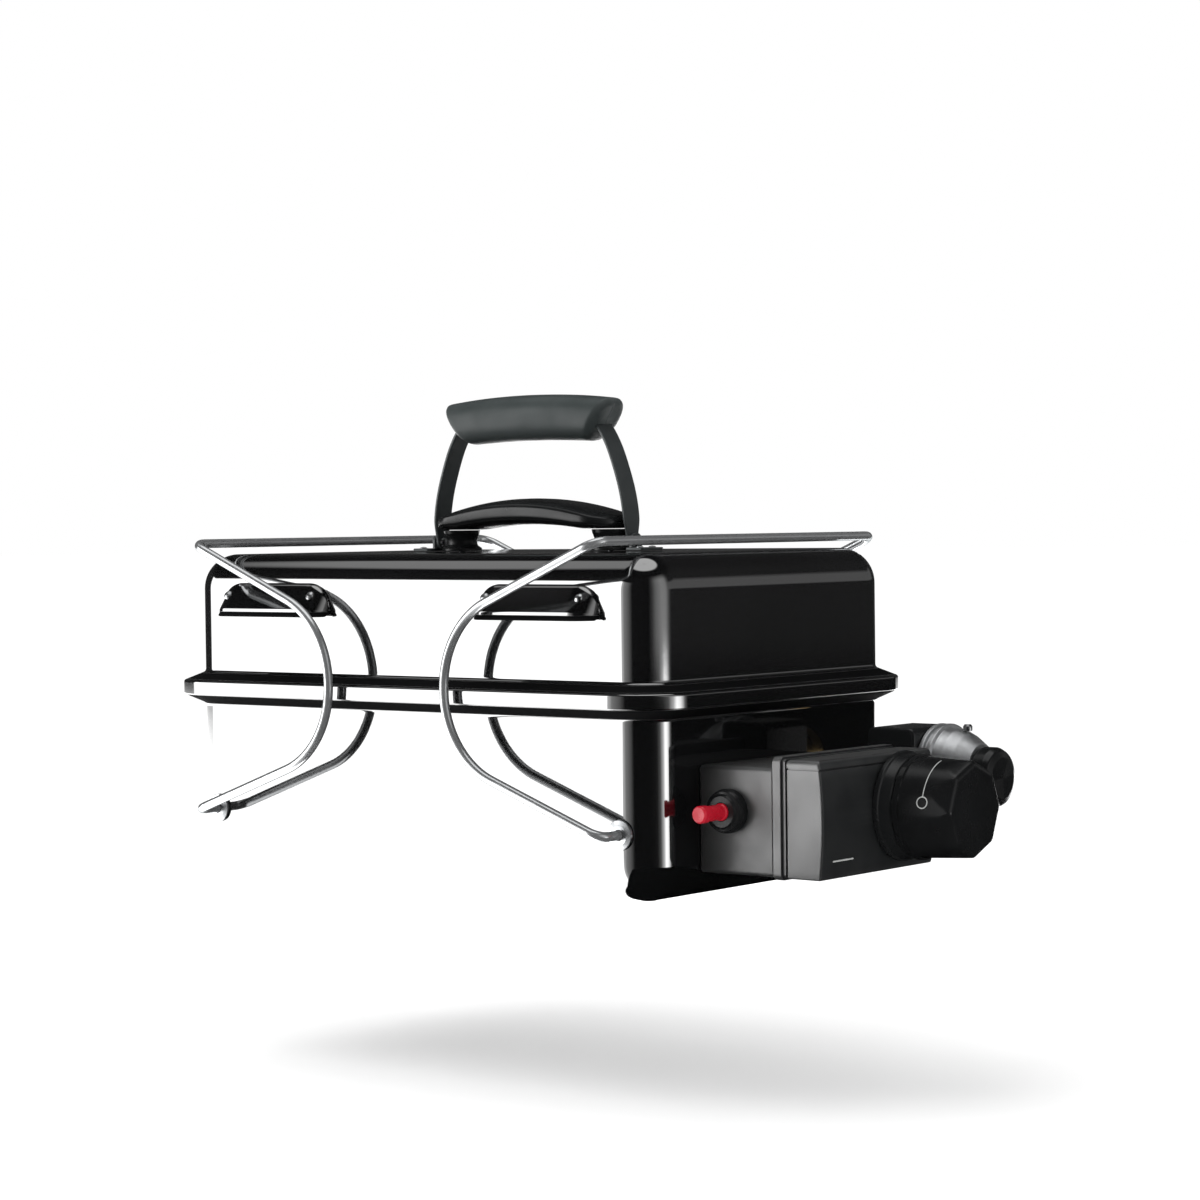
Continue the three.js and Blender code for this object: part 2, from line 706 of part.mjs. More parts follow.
// ---- control unit ----
function makeControlBox() {
  const middleY = (BOX_FRONT + BOX_BACK) / 2;
  const halfY = (BOX_BACK - BOX_FRONT) / 2;
  const middleZ = (BOX_LOW + BOX_HIGH) / 2;
  const halfZ = (BOX_HIGH - BOX_LOW) / 2;
  const start = WALL_X + GAP;
  const outer = extrude(roundedOutline(halfY, halfZ, 3, middleY, middleZ), start, BOX_END, { axis: "X" });
  const inner = extrude(
    roundedOutline(halfY - 2, halfZ - 2, 2, middleY, middleZ),
    start - 2,
    BOX_END - 2,
    { axis: "X" },
  );
  const igniterHole = rod(11, BOX_FRONT - 2, BOX_FRONT + 6, "Y", [IGNITER_X, 0, IGNITER_Z], 20);
  const gasHole = rod(8, BOX_END - 6, BOX_END + 2, "X", [0, 0, BURNER_Z], 16);
  return cutAll(outer, [inner, igniterHole, gasHole]);
}

function makeCasingFlange() {
  const halfY = (BOX_BACK - BOX_FRONT) / 2 + 0.8;
  const middleY = (BOX_FRONT + BOX_BACK) / 2;
  const low = BOX_LOW - 1.5;
  const high = BOX_HIGH + 7.5;
  const plan = roundedOutline(halfY, (high - low) / 2, 4, middleY, (high + low) / 2);
  const plate = extrude(plan, BOX_END + GAP, FLANGE_END, { axis: "X" });
  return plate.subtract(rod(12, BOX_END - 2, FLANGE_END + 2, "X", [0, 0, BURNER_Z], 20));
}

// The outer casing: its end face bulges a little, and its top edge is a thick rounded lip.
function makeValveHousing() {
  const start = FLANGE_END + 1.2;
  const face = (inset) => {
    const low = BOX_LOW + inset;
    const high = BOX_HIGH + 6 - inset;
    const end = HOUSING_END - inset;
    const shape = new THREE.Shape();
    shape.moveTo(inset > 0 ? start - 2 : start, low);
    shape.lineTo(end - 2.5, low);
    shape.quadraticCurveTo(end + 2.5, (low + high) / 2, end - 2.5, high - 3);
    shape.lineTo(end - 5, high);
    shape.lineTo(inset > 0 ? start - 2 : start, high);
    shape.closePath();
    return shape;
  };
  const outer = extrude(face(0), BOX_FRONT, BOX_BACK, { axis: "Y" });
  const inner = extrude(face(2.2), BOX_FRONT + 2.2, BOX_BACK - 2.2, { axis: "Y" });
  const stemHole = rod(7, HOUSING_END - 12, HOUSING_END + 4, "X", [0, KNOB_Y, KNOB_Z], 20);
  return cutAll(outer, [inner, stemHole]);
}

function makeKnobBezel() {
  const from = HOUSING_END + 0.4;
  const to = KNOB_START - 1.2;
  const profile = [[9, from], [36, from], [35.4, from + 3], [33, to], [9, to], [9, from]];
  return turned(profile, "X", [0, KNOB_Y, KNOB_Z], 24);
}

// The knob: round, a little tapered, with a chamfered end cut into eight flats.
function makeKnob() {
  const profile = [
    [4.2, KNOB_START + 8], [30, KNOB_START + 8], [30, KNOB_START], [34.6, KNOB_START], [34.6, KNOB_START + 4],
    [33, KNOB_START + 6], [30.6, KNOB_END - 5], [25, KNOB_END], [0, KNOB_END], [0, KNOB_START + 24],
    [4.2, KNOB_START + 24], [4.2, KNOB_START + 8],
  ];
  const body = turned(profile, "X", [0, KNOB_Y, KNOB_Z], 24);
  const acrossFlats = 28.9;
  const flats = [];
  for (let i = 0; i < 8; i++) {
    const flat = block([KNOB_END - 26, -40, acrossFlats], [KNOB_END + 2, 40, 50]);
    flats.push(flat.rotate([22.5 + 45 * i, 0, 0]).translate([0, KNOB_Y, KNOB_Z]));
  }
  return cutAll(body, flats);
}

const makeValveStem = () =>
  rod(3.8, HOUSING_END - 12, KNOB_START + 23, "X", [0, KNOB_Y, KNOB_Z], 14);

function makeGasValve() {
  const body = block([FLANGE_END + 3, KNOB_Y - 13, BURNER_Z - 14], [HOUSING_END - 13, KNOB_Y + 13, KNOB_Z + 12]);
  return body.add(rod(6, BOX_END - 16, FLANGE_END + 4, "X", [0, 0, BURNER_Z], 16));
}

const makeOrifice = () =>
  turned(
    [[0, BOX_END - 31], [1.2, BOX_END - 31], [3.5, BOX_END - 27], [5, BOX_END - 25], [5, BOX_END - 17],
      [0, BOX_END - 17]],
    "X",
    [0, 0, BURNER_Z],
    12,
  );

function makeInletBlock() {
  const outline = roundedOutline(19, 24, 5, INLET_X, INLET_Z);
  return extrude(outline, BOX_BACK + 2, INLET_END, { axis: "Y" });
}

// Die-cast regulator: a flange with two grooves, then a dome that narrows towards the cap.
function makeRegulator() {
  const start = 290.4;
  const profile = [
    [0, start], [31, start], [31, start + 3.4], [28.6, start + 4], [28.6, start + 5.6], [31, start + 6.2],
    [31, start + 9.4], [28.6, start + 10], [28.6, start + 12], [27.6, start + 17], [24.5, start + 24],
    [20.5, start + 30], [18, start + 33.6], [0, start + 33.6],
  ];
  return turned(profile, "X", [0, REGULATOR_Y, REGULATOR_Z], 20);
}

function makeRegulatorCap() {
  const start = 324.4;
  const profile = [
    [0, start], [19.5, start], [20.4, start + 3], [20.4, start + 10], [18.6, start + 13.6],
    [14.6, start + 15.4], [0, start + 15.8],
  ];
  return turned(profile, "X", [0, REGULATOR_Y, REGULATOR_Z - 4], 20);
}

function makeRegulatorStud() {
  const foot = 103.6;
  const profile = [[0, foot], [3.2, foot], [3.2, foot + 3.4], [2.4, foot + 4.4], [0, foot + 4.4]];
  return turned(profile, "Z", [313, REGULATOR_Y, 0], 12);
}

// The threaded socket that a gas cylinder screws into.
function makeCoupling() {
  const bore = 12.7;
  const start = INLET_END + 0.4;
  const end = 118;
  const profile = [
    [bore, start], [18, start], [18, start + 7.6], [16.4, start + 8.6], [16.4, end], [bore, end], [bore, start],
  ];
  return turned(profile, "Y", [INLET_X, 0, INLET_Z], 24);
}

// ---- assembly ----
const group = new THREE.Group();

function place(name, solid, material) {
  const mesh = new THREE.Mesh(geometryOf(solid), material);
  mesh.name = name;
  group.add(mesh);
}

place("bowl", makeBowl(), enamel);
const lid = makeLid();
place("lid", lid.walls, enamel);
place("lid_crown", lid.crown, enamel);
place("lid_handle", makeLidHandle(), blackPlastic);
place("bail_strap", makeStrap(), strapPaint);
place("grip_front_half", makeGripHalf(true), greyPlastic);
place("grip_back_half", makeGripHalf(false), greyPlastic);

for (const [name, side] of [["left", -1], ["right", 1]]) {
  place(`vent_hood_${name}`, makeHood(side), enamel);
  place(`hood_rivet_${name}_outer`, makeHoodRivet(side * (HOOD_X + 42)), steel);
  place(`hood_rivet_${name}_inner`, makeHoodRivet(side * (HOOD_X - 42)), steel);
  place(`handle_post_${name}`, makeHandlePost(side), blackPlastic);
  place(`handle_screw_${name}`, makeHandleScrew(side), steel);
  place(`bail_bracket_${name}`, makeBailBracket(side), strapPaint);
  place(`bail_pin_${name}`, makeBailPin(side), steel);
  place(`leg_${name}`, makeLeg(side), chrome);
  place(`end_ledge_${name}`, makeEndLedge(side), steel);
  for (const [end, direction] of [["front", -1], ["back", 1]]) {
    place(`leg_washer_${name}_${end}`, makeLegWasher(side, direction), steel);
    place(`leg_cap_${name}_${end}`, makeLegCap(side, direction), steel);
  }
}

place("cooking_grate", makeGrate(), enamel);
place("heat_bar", makeHeatBar(), enamel);
place("burner_tube", makeBurnerTube(), steel);
place("burner_bracket", makeBurnerBracket(), steel);
place("electrode_insulator", makeElectrode(), ceramic);
place("electrode_pin", makeElectrodePin(), steel);
place("igniter_body", makeIgniterBody(), blackPlastic);
place("igniter_collar", makeIgniterCollar(), blackPlastic);
place("igniter_button", makeIgniterButton(), redPlastic);
place("igniter_spring", makeIgniterSpring(), steel);
place("igniter_lead", makeIgniterLead(), leadRubber);
place("control_box", makeControlBox(), boxPaint);
place("casing_flange", makeCasingFlange(), boxPaint);
place("valve_housing", makeValveHousing(), boxPaint);
place("knob_bezel", makeKnobBezel(), blackPlastic);
place("control_knob", makeKnob(), knobPlastic);
place("valve_stem", makeValveStem(), brass);
place("gas_valve", makeGasValve(), brass);
place("gas_orifice", makeOrifice(), brass);
place("inlet_block", makeInletBlock(), blackPlastic);
place("regulator_body", makeRegulator(), castMetal);
place("regulator_cap", makeRegulatorCap(), knobPlastic);
place("regulator_stud", makeRegulatorStud(), steel);
place("cylinder_coupling", makeCoupling(), brass);

export default group;
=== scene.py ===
import math

import bmesh
import bpy
from mathutils import Matrix, Vector


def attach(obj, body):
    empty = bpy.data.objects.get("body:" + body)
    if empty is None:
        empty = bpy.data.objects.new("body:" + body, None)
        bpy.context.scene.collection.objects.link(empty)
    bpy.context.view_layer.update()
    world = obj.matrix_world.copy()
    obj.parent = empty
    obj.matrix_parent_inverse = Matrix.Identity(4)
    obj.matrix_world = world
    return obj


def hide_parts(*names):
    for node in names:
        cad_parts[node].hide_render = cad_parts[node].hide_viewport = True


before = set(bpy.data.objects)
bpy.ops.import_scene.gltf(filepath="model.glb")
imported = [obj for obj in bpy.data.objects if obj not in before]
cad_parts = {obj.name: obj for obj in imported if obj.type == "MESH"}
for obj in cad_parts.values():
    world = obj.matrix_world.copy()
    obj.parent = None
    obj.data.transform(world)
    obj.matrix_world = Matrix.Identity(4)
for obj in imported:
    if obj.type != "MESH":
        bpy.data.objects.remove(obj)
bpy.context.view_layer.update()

# A portable tabletop gas grill, folded for carrying. Shapes are given in millimetres in the CAD frame and
# scaled to metres when a piece is made. +X points to the control end, -Y is the front.
MM = 0.001

# ---- dimensions shared with the CAD model ----
WALL_X, WALL_Y, CORNER, FILLET, SHEET = 210, 136.5, 25, 24.5, 1.6
LID_TOP = 226
LEG_X, LEG_Z, LEG_TOP, LEG_PLANE, WIRE = 183, 45, 234, 159, 3.2
BOW_X, BOW_RADIUS, SLOPE_LOW, SLOPE_HIGH = 52.7, 62, 20, 23
VENT_X, HOOD_LOW = 121, 185
HANDLE_HALF, HANDLE_WIDE, HANDLE_TOP, HANDLE_UNDER, POST_X = 81, 25, 263.5, 241.6, 69
BAIL_X, BAIL_Z, STRAP_WIDE, STRAP_THICK = 88, 232.5, 17, 2.6
GRIP_LOW, GRIP_HIGH = 303, 337
BOX_FRONT, BOX_BACK, BOX_LOW, BOX_HIGH = -88, 42, 18, 88
BOX_END, FLANGE_END, HOUSING_END = 268, 277.5, 307
KNOB_Y, KNOB_Z, KNOB_START, KNOB_END = 3, 59, 320.5, 363
IGNITER_X, IGNITER_Z = 234.5, 59.3
REGULATOR_Y, REGULATOR_Z = 74.5, 77
BURNER_Z = 45
BURNER = (0, 0, BURNER_Z)
SPARK_Y, SPARK_Z = -30, 40  # the line of the spark electrode

SIDES = (("left", -1), ("right", 1))


# ---- procedural finishes ----
def preset(node, **values):
    """Sets inputs of a node by name; a name has _ where the socket has a space."""
    for name, value in values.items():
        node.inputs[name.replace("_", " ")].default_value = value
    return node


class Finish:
    """A principled material whose colour, roughness and bump come from noise in object coordinates."""

    def __init__(self, name, colour, roughness, metallic=0.0, ior=1.5, shine=0.5):
        self.material = bpy.data.materials.new(name)
        self.material.use_nodes = True
        self.tree = self.material.node_tree
        self.shader = self.tree.nodes["Principled BSDF"]
        self.where = self.add("ShaderNodeTexCoord").outputs["Object"]
        self.colour = tuple(colour) + (1.0,)
        preset(self.shader, Metallic=metallic, IOR=ior, Specular_IOR_Level=shine, Base_Color=self.colour,
               Roughness=roughness)
        self.paint = None
        self.height = None

    def add(self, kind):
        return self.tree.nodes.new(kind)

    def link(self, a, b):
        self.tree.links.new(a, b)

    def combine(self, operation, a, b):
        node = self.add("ShaderNodeMath")
        node.operation = operation
        self.link(a, node.inputs[0])
        self.link(b, node.inputs[1])
        return node.outputs[0]

    def along(self, vector, axis):
        """One coordinate of a vector: 0, 1 or 2."""
        node = self.add("ShaderNodeSeparateXYZ")
        self.link(vector, node.inputs[0])
        return node.outputs[axis]

    def noise(self, scale, detail=3.0, roughness=0.55):
        node = preset(self.add("ShaderNodeTexNoise"), Scale=scale, Detail=detail, Roughness=roughness)
        self.link(self.where, node.inputs["Vector"])
        return node.outputs["Fac"]

    def spread(self, value, low, high, from_low=0.35, from_high=0.65):
        """A value's range as low to high; the default range is the middle of a noise."""
        node = preset(self.add("ShaderNodeMapRange"), From_Min=from_low, From_Max=from_high, To_Min=low,
                      To_Max=high)
        self.link(value, node.inputs["Value"])
        return node.outputs["Result"]

    def mix_colour(self, amount, other):
        """Mixes another colour in where amount is high."""
        node = self.add("ShaderNodeMix")
        node.data_type = "RGBA"
        self.link(amount, node.inputs["Factor"])
        if self.paint is None:
            node.inputs["A"].default_value = self.colour
        else:
            self.link(self.paint, node.inputs["A"])
        node.inputs["B"].default_value = tuple(other) + (1.0,)
        self.paint = node.outputs["Result"]
        self.link(self.paint, self.shader.inputs["Base Color"])
        return self

    def mottle(self, other, scale, share=0.6, **kind):
        return self.mix_colour(self.spread(self.noise(scale, **kind), 0.0, share), other)

    def rough(self, low, high, scale, **kind):
        self.link(self.spread(self.noise(scale, **kind), low, high), self.shader.inputs["Roughness"])
        return self

    def grain(self, scale, depth, strength=1.0):
        """Surface relief of the given depth in metres."""
        node = preset(self.add("ShaderNodeBump"), Strength=strength, Distance=depth)
        self.link(self.noise(scale, detail=2.0), node.inputs["Height"])
        if self.height is not None:
            self.link(self.height, node.inputs["Normal"])
        self.height = node.outputs["Normal"]
        self.link(self.height, self.shader.inputs["Normal"])
        return self

    def specks(self, other, scale, share, size=0.18):
        """Small scattered specks, such as dust."""
        node = preset(self.add("ShaderNodeTexVoronoi"), Scale=scale)
        self.link(self.where, node.inputs["Vector"])
        return self.mix_colour(self.spread(node.outputs["Distance"], share, 0.0, 0.0, size), other)

    def painted_shade_band(self, low, high, edge=0.0006):
        """A band of height, in millimetres, painted dark as shade: its shine is taken away and it is made
        fully rough.
        """
        height = self.along(self.where, 2)
        band = self.combine("MULTIPLY", self.spread(height, 0.0, 1.0, low * MM, low * MM + edge),
                            self.spread(height, 1.0, 0.0, high * MM - edge, high * MM))
        self.link(self.spread(band, 0.5, 0.01, 0.0, 1.0), self.shader.inputs["Specular IOR Level"])
        roughness = self.shader.inputs["Roughness"]
        self.link(self.combine("MAXIMUM", roughness.links[0].from_socket, band), roughness)
        return self

    def painted_shade_facing(self, axis, shine, low, high):
        """Painted shade: less shine on the faces that look along an axis (0, 1 or 2), so those sides show
        darker.
        """
        facing = self.along(self.add("ShaderNodeTexCoord").outputs["Normal"], axis)
        level = self.spread(facing, 0.5, shine, low, high)
        socket = self.shader.inputs["Specular IOR Level"]
        if socket.links:
            level = self.combine("MINIMUM", socket.links[0].from_socket, level)
        self.link(level, socket)
        return self

    def worn(self, other, share, low=0.53, high=0.62):
        """Worn or rubbed edges, where the mesh is sharply convex."""
        point = self.add("ShaderNodeNewGeometry").outputs["Pointiness"]
        breakup = self.spread(self.noise(90.0, detail=5.0), 0.2, share)
        edge = self.combine("MULTIPLY", self.spread(point, 0.0, 1.0, low, high), breakup)
        return self.mix_colour(edge, other)


FINISHES = {}


def finish(slot, name, colour, roughness, **kind):
    made = Finish(name, colour, roughness, **kind)
    FINISHES[name] = (made.material, slot)
    return made


def enamel(name):
    made = finish("enamel", name, (0.0030, 0.0032, 0.0034), 0.05, ior=3.0)
    made.mottle((0.0050, 0.0052, 0.0056), 9.0, 0.8).specks((0.05, 0.05, 0.05), 260.0, 0.16, 0.06)
    made.worn((0.02, 0.02, 0.02), 0.5).rough(0.035, 0.075, 14.0, detail=6.0)
    return made.grain(170.0, 0.000012, 0.5).grain(1500.0, 0.000003, 0.4)


# Painted shade: dark bands of height on the hood's lower lip, the lid's sloping lip and the bowl's slope
# under the rim.
enamel("hood_enamel").painted_shade_band(181.5, 186.4)
enamel("lid_enamel").painted_shade_band(136.8, 141.6)
# The bowl's faces that look towards +X also lose their shine: painted shade on its end face.
enamel("bowl_enamel").painted_shade_band(119.0, 126.2).painted_shade_facing(0, 0.08, 0.985, 0.997)

grate_enamel = finish("grate_enamel", "cooking_enamel", (0.012, 0.011, 0.010), 0.35)
grate_enamel.mottle((0.035, 0.022, 0.014), 24.0, 0.6).rough(0.28, 0.6, 60.0).grain(700.0, 0.00012, 0.8)

chrome = finish("chrome_wire", "chrome", (0.58, 0.59, 0.60), 0.2, metallic=0.8)
chrome.mottle((0.48, 0.49, 0.50), 40.0, 0.5).rough(0.17, 0.26, 55.0, detail=6.0).grain(420.0, 0.00002, 0.4)
preset(chrome.shader, Specular_Tint=(0.04, 0.05, 0.05, 1.0))

satin = finish("black_plastic", "satin_black", (0.0085, 0.0090, 0.0094), 0.24, shine=0.3)
satin.mottle((0.013, 0.014, 0.0145), 20.0, 0.6).worn((0.05, 0.05, 0.05), 0.5)
satin.rough(0.18, 0.30, 35.0, detail=5.0).grain(1900.0, 0.00006, 0.45)

grip = finish("grip_plastic", "grip_rubber", (0.030, 0.038, 0.038), 0.52, shine=0.4)
grip.mottle((0.047, 0.056, 0.056), 26.0, 0.7).worn((0.12, 0.13, 0.13), 0.5)
grip.rough(0.44, 0.62, 40.0, detail=5.0).grain(1500.0, 0.00012, 0.6)

box_paint = finish("box_paint", "textured_paint", (0.011, 0.012, 0.013), 0.5, ior=2.6)
box_paint.mottle((0.018, 0.0195, 0.020), 30.0, 0.7).worn((0.09, 0.09, 0.09), 0.5)
# Faces of the box that turn towards +X lose most of their shine: painted shade on its end faces.
box_paint.rough(0.46, 0.56, 30.0, detail=6.0).grain(2400.0, 0.00008, 0.5).painted_shade_facing(0, 0.08, 0.6, 0.9)

knob_plastic = finish("knob_plastic", "knob_black", (0.006, 0.0063, 0.0066), 0.2, shine=0.3)
knob_plastic.mottle((0.010, 0.0105, 0.011), 28.0, 0.6).worn((0.03, 0.03, 0.03), 0.4)
knob_plastic.rough(0.17, 0.30, 45.0, detail=6.0).grain(1200.0, 0.00003, 0.35)

red = finish("red_plastic", "igniter_red", (0.42, 0.006, 0.018), 0.28)
red.mottle((0.52, 0.012, 0.03), 90.0, 0.7).rough(0.22, 0.36, 120.0).grain(1800.0, 0.00003, 0.4)

cast = finish("cast_metal", "die_cast", (0.62, 0.63, 0.64), 0.36, metallic=0.9)
cast.mottle((0.44, 0.45, 0.46), 70.0, 0.7).worn((0.82, 0.82, 0.83), 0.6)
cast.rough(0.28, 0.5, 90.0, detail=6.0).grain(1100.0, 0.00016, 0.7)

brass = finish("brass", "turned_brass", (0.36, 0.25, 0.10), 0.34, metallic=1.0)
brass.mottle((0.24, 0.16, 0.06), 80.0, 0.7).rough(0.22, 0.42, 120.0).grain(900.0, 0.00005, 0.5)

steel = finish("steel", "plain_steel", (0.56, 0.57, 0.58), 0.3, metallic=1.0)
steel.mottle((0.38, 0.39, 0.40), 60.0, 0.7).rough(0.2, 0.42, 80.0, detail=6.0).grain(1000.0, 0.00005, 0.5)

strap = finish("strap_paint", "strap_coat", (0.040, 0.046, 0.047), 0.34, metallic=0.3)
strap.mottle((0.058, 0.064, 0.065), 35.0, 0.7).worn((0.2, 0.2, 0.2), 0.6)
strap.rough(0.28, 0.42, 50.0, detail=5.0).grain(1400.0, 0.00008, 0.5)

ceramic = finish("ceramic", "white_ceramic", (0.72, 0.69, 0.62), 0.25)
ceramic.mottle((0.55, 0.48, 0.38), 60.0, 0.5).rough(0.18, 0.35, 90.0).grain(700.0, 0.00003, 0.4)

lead = finish("lead_rubber", "red_lead", (0.25, 0.02, 0.02), 0.55)
lead.mottle((0.16, 0.015, 0.015), 120.0, 0.6).rough(0.45, 0.65, 120.0).grain(900.0, 0.00004, 0.5)

marking = finish("black_plastic", "marking_white", (0.46, 0.47, 0.46), 0.5)
marking.mottle((0.34, 0.35, 0.34), 300.0, 0.6).rough(0.4, 0.6, 300.0).grain(2500.0, 0.00001, 0.4)


# ---- outlines ----
def rounded(points, steps=5, closed=False):
    """A polyline of (x, y, radius) corners with every corner rounded."""
    made = []
    count = len(points)
    for i, (x, y, *radius) in enumerate(points):
        radius = radius[0] if radius else 0
        end = not closed and i in (0, count - 1)
        if end or radius <= 0:
            made.append((x, y))
            continue
        here = Vector((x, y))
        back = (Vector(points[i - 1][:2]) - here).normalized()
        onward = (Vector(points[(i + 1) % count][:2]) - here).normalized()
        opening = back.angle(onward)
        if opening > math.pi - 0.02:
            made.append((x, y))
            continue
        centre = here + (back + onward).normalized() * (radius / math.sin(opening / 2))
        start = here + back * (radius / math.tan(opening / 2)) - centre
        turn = math.pi - opening
        side = -1 if back.x * onward.y - back.y * onward.x > 0 else 1
        for k in range(steps + 1):
            a = side * turn * k / steps
            made.append((
                centre.x + start.x * math.cos(a) - start.y * math.sin(a),
                centre.y + start.x * math.sin(a) + start.y * math.cos(a),
            ))
    return made


def rectangle(half_x, half_y, radius, middle=(0, 0), steps=6):
    x, y = middle
    corners = [(1, -1), (1, 1), (-1, 1), (-1, -1)]
    return rounded([(x + a * half_x, y + b * half_y, radius) for a, b in corners], steps, closed=True)


def grown(outline, amount):
    """A closed outline moved outwards, counted anticlockwise."""
    count = len(outline)
    made = []
    for i, (x, y) in enumerate(outline):
        before, after = Vector(outline[i - 1]), Vector(outline[(i + 1) % count])
        here = Vector((x, y))
        a = (here - before).normalized()
        b = (after - here).normalized()
        normal_a, normal_b = Vector((a.y, -a.x)), Vector((b.y, -b.x))
        middle = normal_a + normal_b
        reach = amount * 2 / max(middle.length_squared, 1.0)
        made.append((x + middle.x * reach, y + middle.y * reach))
    return made


def turned_about(axis, radius, along, angle, centre):
    """A point of a turned piece."""
    x, y, z = centre
    a, b = radius * math.cos(angle), radius * math.sin(angle)
    if axis == "X":
        return (x + along, y + a, z + b)
    if axis == "Y":
        return (x + a, y + along, z + b)
    return (x + a, y + b, z + along)


def laid(axis, u, v, along):
    """A point of an outline that is extruded along an axis: (y, z), (x, z) or (x, y)."""
    if axis == "X":
        return (along, u, v)
    if axis == "Y":
        return (u, along, v)
    return (u, v, along)


# ---- mesh builders: each returns (vertices, faces) ----
def loft(rings, caps=True, wrap=False):
    """Rings of equal length, joined in order."""
    size = len(rings[0])
    verts = [p for ring in rings for p in ring]
    faces = []
    pairs = [(i, i + 1) for i in range(len(rings) - 1)]
    if wrap:
        pairs.append((len(rings) - 1, 0))
    for a, b in pairs:
        for k in range(size):
            n = (k + 1) % size
            faces.append((a * size + k, a * size + n, b * size + n, b * size + k))
    if caps and not wrap:
        faces.append(tuple(reversed(range(size))))
        faces.append(tuple((len(rings) - 1) * size + k for k in range(size)))
    return verts, faces


def lathe(profile, axis, centre, sides=72, wrap=False):
    """A turned body: profile of (radius, along). Ends at radius 0 close to a point."""
    rings = []
    for radius, along in profile:
        radius = max(radius, 0.002)
        rings.append([turned_about(axis, radius, along, 2 * math.pi * k / sides, centre)
                      for k in range(sides)])
    return loft(rings, wrap=wrap)


def plate(outline, low, high, axis, edge=0.8, steps=3):
    """An extruded outline with rounded edges."""
    turns = [math.pi / 2 * k / steps for k in range(steps + 1)]
    places = [(a, low + edge * (1 - math.cos(a))) for a in turns]
    places += [(a, high - edge * (1 - math.cos(a))) for a in reversed(turns)]
    rings = []
    for a, along in places:
        ring = grown(outline, -edge * (1 - math.sin(a)))
        rings.append([laid(axis, u, v, along) for u, v in ring])
    return loft(rings)


def bent(corners, step=4.0):
    """Points of a 3-D polyline of (x, y, z, radius) with its inner corners rounded."""
    places = [Vector(c[:3]) for c in corners]
    made = [places[0]]
    for i in range(1, len(places) - 1):
        here = places[i]
        back = (places[i - 1] - here).normalized()
        onward = (places[i + 1] - here).normalized()
        opening = back.angle(onward)
        radius = corners[i][3]
        centre = here + (back + onward).normalized() * (radius / math.sin(opening / 2))
        start = here + back * (radius / math.tan(opening / 2)) - centre
        axis = back.cross(onward).normalized()
        turn = math.pi - opening
        count = max(3, math.ceil(math.degrees(turn) / step))
        for k in range(count + 1):
            made.append(centre + Matrix.Rotation(-turn * k / count, 3, axis) @ start)
    made.append(places[-1])
    return made


def swept(points, section, scales=None, up=Vector((0, 1, 0))):
    """A section of (u, v) carried along points without twisting: u runs along up."""
    points = [Vector(p) for p in points]
    rings = []
    for i, p in enumerate(points):
        before = points[max(i - 1, 0)]
        after = points[min(i + 1, len(points) - 1)]
        run = (after - before).normalized()
        if i == 0:
            side = (up - run * up.dot(run)).normalized()
        else:
            side = (side - run * side.dot(run)).normalized()
        across = run.cross(side)
        a, b = scales[i] if scales else (1, 1)
        rings.append([tuple(p + side * (u * a) + across * (v * b)) for u, v in section])
    return loft(rings)


def circle(radius, sides=20):
    return [(radius * math.cos(2 * math.pi * k / sides), radius * math.sin(2 * math.pi * k / sides))
            for k in range(sides)]


def wire(points, radius, sides=20, dome=0.35):
    """A round bar with slightly domed ends."""
    points = [Vector(p) for p in points]
    first = (points[1] - points[0]).normalized()
    last = (points[-1] - points[-2]).normalized()
    step = radius * dome
    ends = [points[0], points[0] + first * step * 0.3, points[0] + first * step]
    tail = [points[-1] - last * step, points[-1] - last * step * 0.3, points[-1]]
    line = ends + points[1:-1] + tail
    scales = [(0.6, 0.6), (0.9, 0.9)] + [(1, 1)] * (len(line) - 4) + [(0.9, 0.9), (0.6, 0.6)]
    run = (line[1] - line[0]).normalized()
    up = Vector((0, 0, 1)) if abs(run.z) < 0.9 else Vector((1, 0, 0))
    return swept(line, circle(radius, sides), scales, up)


def together(*parts):
    """Several bodies as one vertex and face list."""
    verts, faces = [], []
    for v, f in parts:
        base = len(verts)
        verts += list(v)
        faces += [tuple(base + i for i in face) for face in f]
    return verts, faces


def moved(shape, matrix):
    verts, faces = shape
    return [tuple(matrix @ Vector(v)) for v in verts], faces


# ---- pieces ----
def mesh_object(name, shape):
    verts, faces = shape
    mesh = bpy.data.meshes.new(name)
    mesh.from_pydata([tuple(c * MM for c in v) for v in verts], [], faces)
    shaped = bmesh.new()
    shaped.from_mesh(mesh)
    bmesh.ops.remove_doubles(shaped, verts=shaped.verts, dist=1e-6)
    bmesh.ops.dissolve_degenerate(shaped, edges=shaped.edges, dist=1e-7)
    bmesh.ops.recalc_face_normals(shaped, faces=shaped.faces)
    shaped.to_mesh(mesh)
    shaped.free()
    made = bpy.data.objects.new(name, mesh)
    bpy.context.scene.collection.objects.link(made)
    return made


def cut(target, *shapes):
    """Takes shapes out of a piece."""
    for i, shape in enumerate(shapes):
        tool = mesh_object(f"{target.name}.cut{i}", shape)
        modifier = target.modifiers.new("cut", "BOOLEAN")
        modifier.operation = "DIFFERENCE"
        modifier.solver = "EXACT"
        modifier.object = tool
        bpy.context.view_layer.update()
        graph = bpy.context.evaluated_depsgraph_get()
        result = bpy.data.meshes.new_from_object(target.evaluated_get(graph))
        target.modifiers.clear()
        target.data = result
        bpy.data.objects.remove(tool)
    return target


